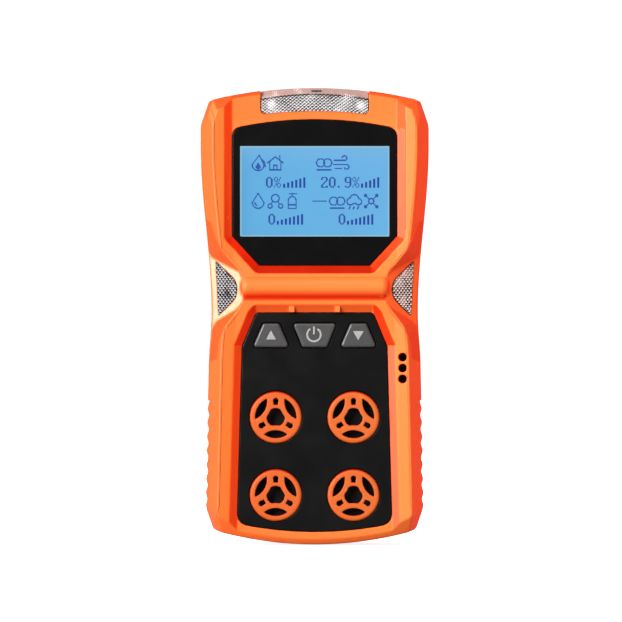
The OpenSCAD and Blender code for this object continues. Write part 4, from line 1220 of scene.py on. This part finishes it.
def rounded_square(hw, hh, cx, cz, r=1.0, steps=5):
    points = []
    for quarter, (sx, sz) in enumerate(((1, 1), (-1, 1), (-1, -1), (1, -1))):
        for i in range(steps + 1):
            a = math.pi / 2 * (quarter + i / steps)
            points.append((cx + sx * (hw - r) + r * math.cos(a), cz + sz * (hh - r) + r * math.sin(a)))
    return points


aluminium = steel("label_grey", (0.6, 0.6, 0.61), 0.4, (16, 1, 1))
plate_line = plastic("label_line", (0.12, 0.12, 0.125), 0.4)
outline = rounded_square(PLATE_HW, PLATE_HW, 0, PLATE_MID)
piece = raised_mark("rating_plate_sheet", [outline], PLATE_D, 0.28, "case", aluminium, 0.05)
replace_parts(piece, "rating_plate")
inner, thin = PLATE_HW - 1.4, 0.15
rows = [PLATE_MID + part * inner for part in (-1, -0.2, 0.3, 1)]
lines = [bar(-inner, inner, z - thin, z + thin) for z in rows]
lines += [bar(x - thin, x + thin, rows[0], rows[3]) for x in (-inner, inner)]
lines.append(bar(-thin, thin, rows[0], rows[1]))
raised_mark("rating_plate_lines", lines, PLATE_D + 0.04, 0.06, "case", plate_line, 0)

# ---------------------------------------------------------------- rail creases, drawn as painted shade lines

CREASE_INSET = 4.1
# Dark lines along the rail creases: painted shade, darker on the left than on the right.
for side, name, crease_line_colour in ((-1, "left", (0.3, 0.04, 0.006)), (1, "right", (0.75, 0.12, 0.02))):
    crease_line_shade = rubber(f"rail_crease_shadow_{name}", crease_line_colour, 0.5)
    for part, z0, z1 in (("upper", 84.0, 123.5), ("lower", 7.6, 61.5)):
        line_zs = np.linspace(z0, z1, 60)
        end_bend = 0.9 * (smoothstep(121, 124, line_zs) + 1 - smoothstep(7, 12, line_zs))
        path = [(side * (side_half_width(z) - CREASE_INSET + b), float(z)) for z, b in zip(line_zs, end_bend)]
        path = [(x, face_depth(x, z) + 0.03, z) for x, z in path]
        tube(f"rail_crease_shadow_{name}_{part}", path, 0.13, crease_line_shade, "case", 6)
# Thin dark lines along the lamp pockets' rims and the window recess's outer rim: painted shade at these
# creases.
line_shade = rubber("rim_line", (0.45, 0.06, 0.01), 0.5)
rim_points = [(28.9, 91.5), (27.2, 86.9), (25.8, 83.9), (23.0, 80.5), (20.9, 78.1), (20.1, 75.8), (20.9, 73.2),
              (20.0, 69.4), (21.6, 66.0), (24.9, 61.8), (26.6, 57.3)]
for side, name in ((-1, "left"), (1, "right")):
    path = rounded_path(rim_points, 1.2)
    path = [(side * x, face_depth(side * x, z) + 0.05, z) for x, z in path]
    tube(f"pocket_rim_line_{name}", path, 0.1, line_shade, "case", 6)
rim_turn = [math.pi / 2 * i / 12 for i in range(13)]
rim = [(25.75, float(z)) for z in np.linspace(89.5, 119.5, 30)]
rim += [(25.75 - 3.4 * (1 - math.cos(a)), 119.5 + 6.6 * math.sin(a)) for a in rim_turn]
rim = [(x, face_depth(x, z) + 0.04, z) for x, z in rim]
tube("recess_rim_line", rim, 0.12, line_shade, "case", 6)

# ---------------------------------------------------------------- CAD pieces


def dress(names, material, bevel=0.0, segments=2):
    """Gives CAD nodes a material and rounds their sharp edges."""
    for name in names.split():
        piece = nodes[name]
        finish_on(piece, material)
        if bevel:
            round_edges(piece, bevel, segments, 40).harden_normals = True


# The filter membranes and sounder mesh are drawn black; this also stands in for the shade deep inside the
# grilles and sound holes.
black_cloth = rubber("membrane_black", (0.004, 0.003, 0.003), 0.5)
black_cloth.set(Specular_IOR_Level=0.1)
board_green = plastic("board_green", (0.02, 0.16, 0.06), 0.35)
gold = steel("contact_gold", (0.9, 0.62, 0.22), 0.25, (1, 1, 1))
bright = steel("steel_bright", (0.4, 0.4, 0.41), 0.34)
dark_steel = steel("steel_dark", (0.2, 0.2, 0.21), 0.35)

for names, material, *rounding in (
        ("case_seal sensor_gaskets motor_boot port_cover sounder_gasket",
         rubber("seal_rubber", (0.03, 0.03, 0.03)), 0.15),
        ("filter_membranes sounder_membrane", black_cloth),
        ("sensor_board main_board top_lamp_board battery_board", board_green, 0.05),
        ("board_connector battery_socket", plastic("connector_white", (0.72, 0.68, 0.58)), 0.12),
        ("sensor_sockets", gold, 0.05),
        ("case_inserts", gold, 0.1),
        ("combustible_sensor charge_socket switch_bodies motor_can", bright, 0.12),
        ("case_screws board_screws clip_screws", bright, 0.12),
        ("oxygen_sensor", plastic("sensor_grey", (0.42, 0.43, 0.45), 0.5), 0.25),
        ("sulfide_sensor", plastic("sensor_tan", (0.55, 0.4, 0.24), 0.5), 0.25),
        ("monoxide_sensor", plastic("sensor_red", (0.6, 0.08, 0.05), 0.5), 0.25),
        ("motor_shaft motor_weight port_cover_pin clip_pin", dark_steel, 0.1),
        ("motor_leads battery_leads", rubber("lead_red", (0.5, 0.015, 0.012), 0.4)),
        ("battery", plastic("battery_silver", (0.35, 0.42, 0.55), 0.3), 0.5, 3),
        ("battery_pad", rubber("foam_black", (0.015, 0.015, 0.015), 0.95), 0.3),
        ("lcd_frame sounder up_plunger power_plunger down_plunger", dark_plastic, 0.12),
        ("lcd_ribbon", plastic("ribbon_amber", (0.6, 0.28, 0.05), 0.25)),
        ("lcd_backlight", plastic("backlight_white", (0.8, 0.8, 0.8), 0.5), 0.1),
        ("lamp_diodes", plastic("diode_yellow", (0.85, 0.75, 0.4), 0.3), 0.1)):
    dress(names, material, *rounding)

lcd = Material("lcd_blue", (0.05, 0.15, 0.3), 0.3)
across = lcd.remap(lcd.axis("X"), 0, 1, -LCD_HW * MM, LCD_HW * MM)
up = lcd.remap(lcd.axis("Z"), 0, 1, (LCD_MID - LCD_HZ) * MM, (LCD_MID + LCD_HZ) * MM)
glow = lcd.mix(across, (0.125, 0.435, 0.76), (0.15, 0.455, 0.79))
glow = lcd.mix(lcd.math("POWER", up, 9.0), glow, (0.2, 0.5, 0.82))
borders = [
    lcd.math("GREATER_THAN", lcd.math("ABSOLUTE", lcd.math("SUBTRACT", part, 0.5)), 0.5 - width)
    for part, width in ((across, 0.0085), (up, 0.014))
]
glow = lcd.mix(lcd.math("MAXIMUM", *borders), glow, (0.32, 0.56, 0.72))
lcd.set(Base_Color=(0.01, 0.03, 0.05), Specular_IOR_Level=0.05, Emission_Color=glow, Emission_Strength=1.0)
finish_on(nodes["lcd_glass"], lcd)

# ---------------------------------------------------------------- stage

def sweep(width=3.0, front=-2.6, bend_y=1.2, bend_r=0.6, height=2.2, steps=16):
    """A studio floor that curves up into a wall behind the object."""
    profile = [(front, 0.0), (bend_y, 0.0)]
    for i in range(1, steps + 1):
        a = math.pi / 2 * i / steps
        profile.append((bend_y + bend_r * math.sin(a), bend_r * (1 - math.cos(a))))
    profile.append((bend_y + bend_r, height))
    points = [(x, y, z - 0.0004) for y, z in profile for x in (-width / 2, width / 2)]
    faces = [(2 * i, 2 * i + 1, 2 * i + 3, 2 * i + 2) for i in range(len(profile) - 1)]
    mesh = bpy.data.meshes.new("studio_sweep")
    mesh.from_pydata(points, [], faces)
    piece = bpy.data.objects.new("studio_sweep", mesh)
    bpy.context.scene.collection.objects.link(piece)
    return piece


pale = Material("studio_pale", (0.8, 0.8, 0.8), 0.8)
seen = pale.node("ShaderNodeLightPath").outputs["Is Camera Ray"]
pale.set(Base_Color=pale.mix(seen, (0.3, 0.3, 0.3), (0.8, 0.8, 0.8)), Specular_IOR_Level=0.0)
pale.set(Emission_Color=(1, 1, 1), Emission_Strength=pale.math("MULTIPLY", seen, 0.85))
finish_on(sweep(), pale)

world = bpy.data.worlds.new("world")
world.use_nodes = True
world.node_tree.nodes["Background"].inputs["Color"].default_value = (1, 1, 1, 1)
world.node_tree.nodes["Background"].inputs["Strength"].default_value = 0.32
bpy.context.scene.world = world


def area_light(name, place, size, watts, colour):
    """A rectangular light, in metres, that faces the object's middle."""
    light = bpy.data.lights.new(name, "AREA")
    light.shape = "RECTANGLE"
    light.size, light.size_y = size
    light.energy = watts
    light.color = colour
    made = bpy.data.objects.new(name, light)
    made.location = place
    made.rotation_euler = (Vector((0, 0, CASE_H * MM / 2)) - made.location).to_track_quat("-Z", "Y").to_euler()
    bpy.context.scene.collection.objects.link(made)


for name, place, size, watts in (
        ("key", (-0.45, -0.6, 0.3), (0.4, 0.4), 8.6),
        ("left_strip", (-0.6, -0.03, 0.08), (0.16, 0.45), 3.5),
        ("top", (-0.05, -0.5, 0.7), (0.5, 0.3), 1.1),
        ("warm_fill", (0.6, 0.05, 0.1), (0.3, 0.5), 3.4),
        ("back_key", (0.05, 0.75, 0.5), (0.5, 0.4), 4.6),
        ("back_fill", (-0.05, 0.9, 0.1), (0.3, 0.4), 2.6)):
    area_light(name, place, size, watts, (1.0, 0.2, 0.03) if name == "warm_fill" else (1, 1, 1))

CAMERA_X, CAMERA_Z, CAMERA_AWAY, VIEW_W = -1.05, 66.41, 1600, 176.55
camera_data = bpy.data.cameras.new("camera")
camera_data.lens_unit = "FOV"
camera_data.angle = 2 * math.atan(VIEW_W / 2 / (CAMERA_AWAY + FRONT_Y))
camera = bpy.data.objects.new("camera", camera_data)
camera.location = Vector((CAMERA_X, -CAMERA_AWAY, CAMERA_Z)) * MM
camera.rotation_euler = (math.radians(90), 0, 0)
bpy.context.scene.collection.objects.link(camera)
bpy.context.scene.camera = camera
bpy.context.scene.view_settings.view_transform = "Standard"
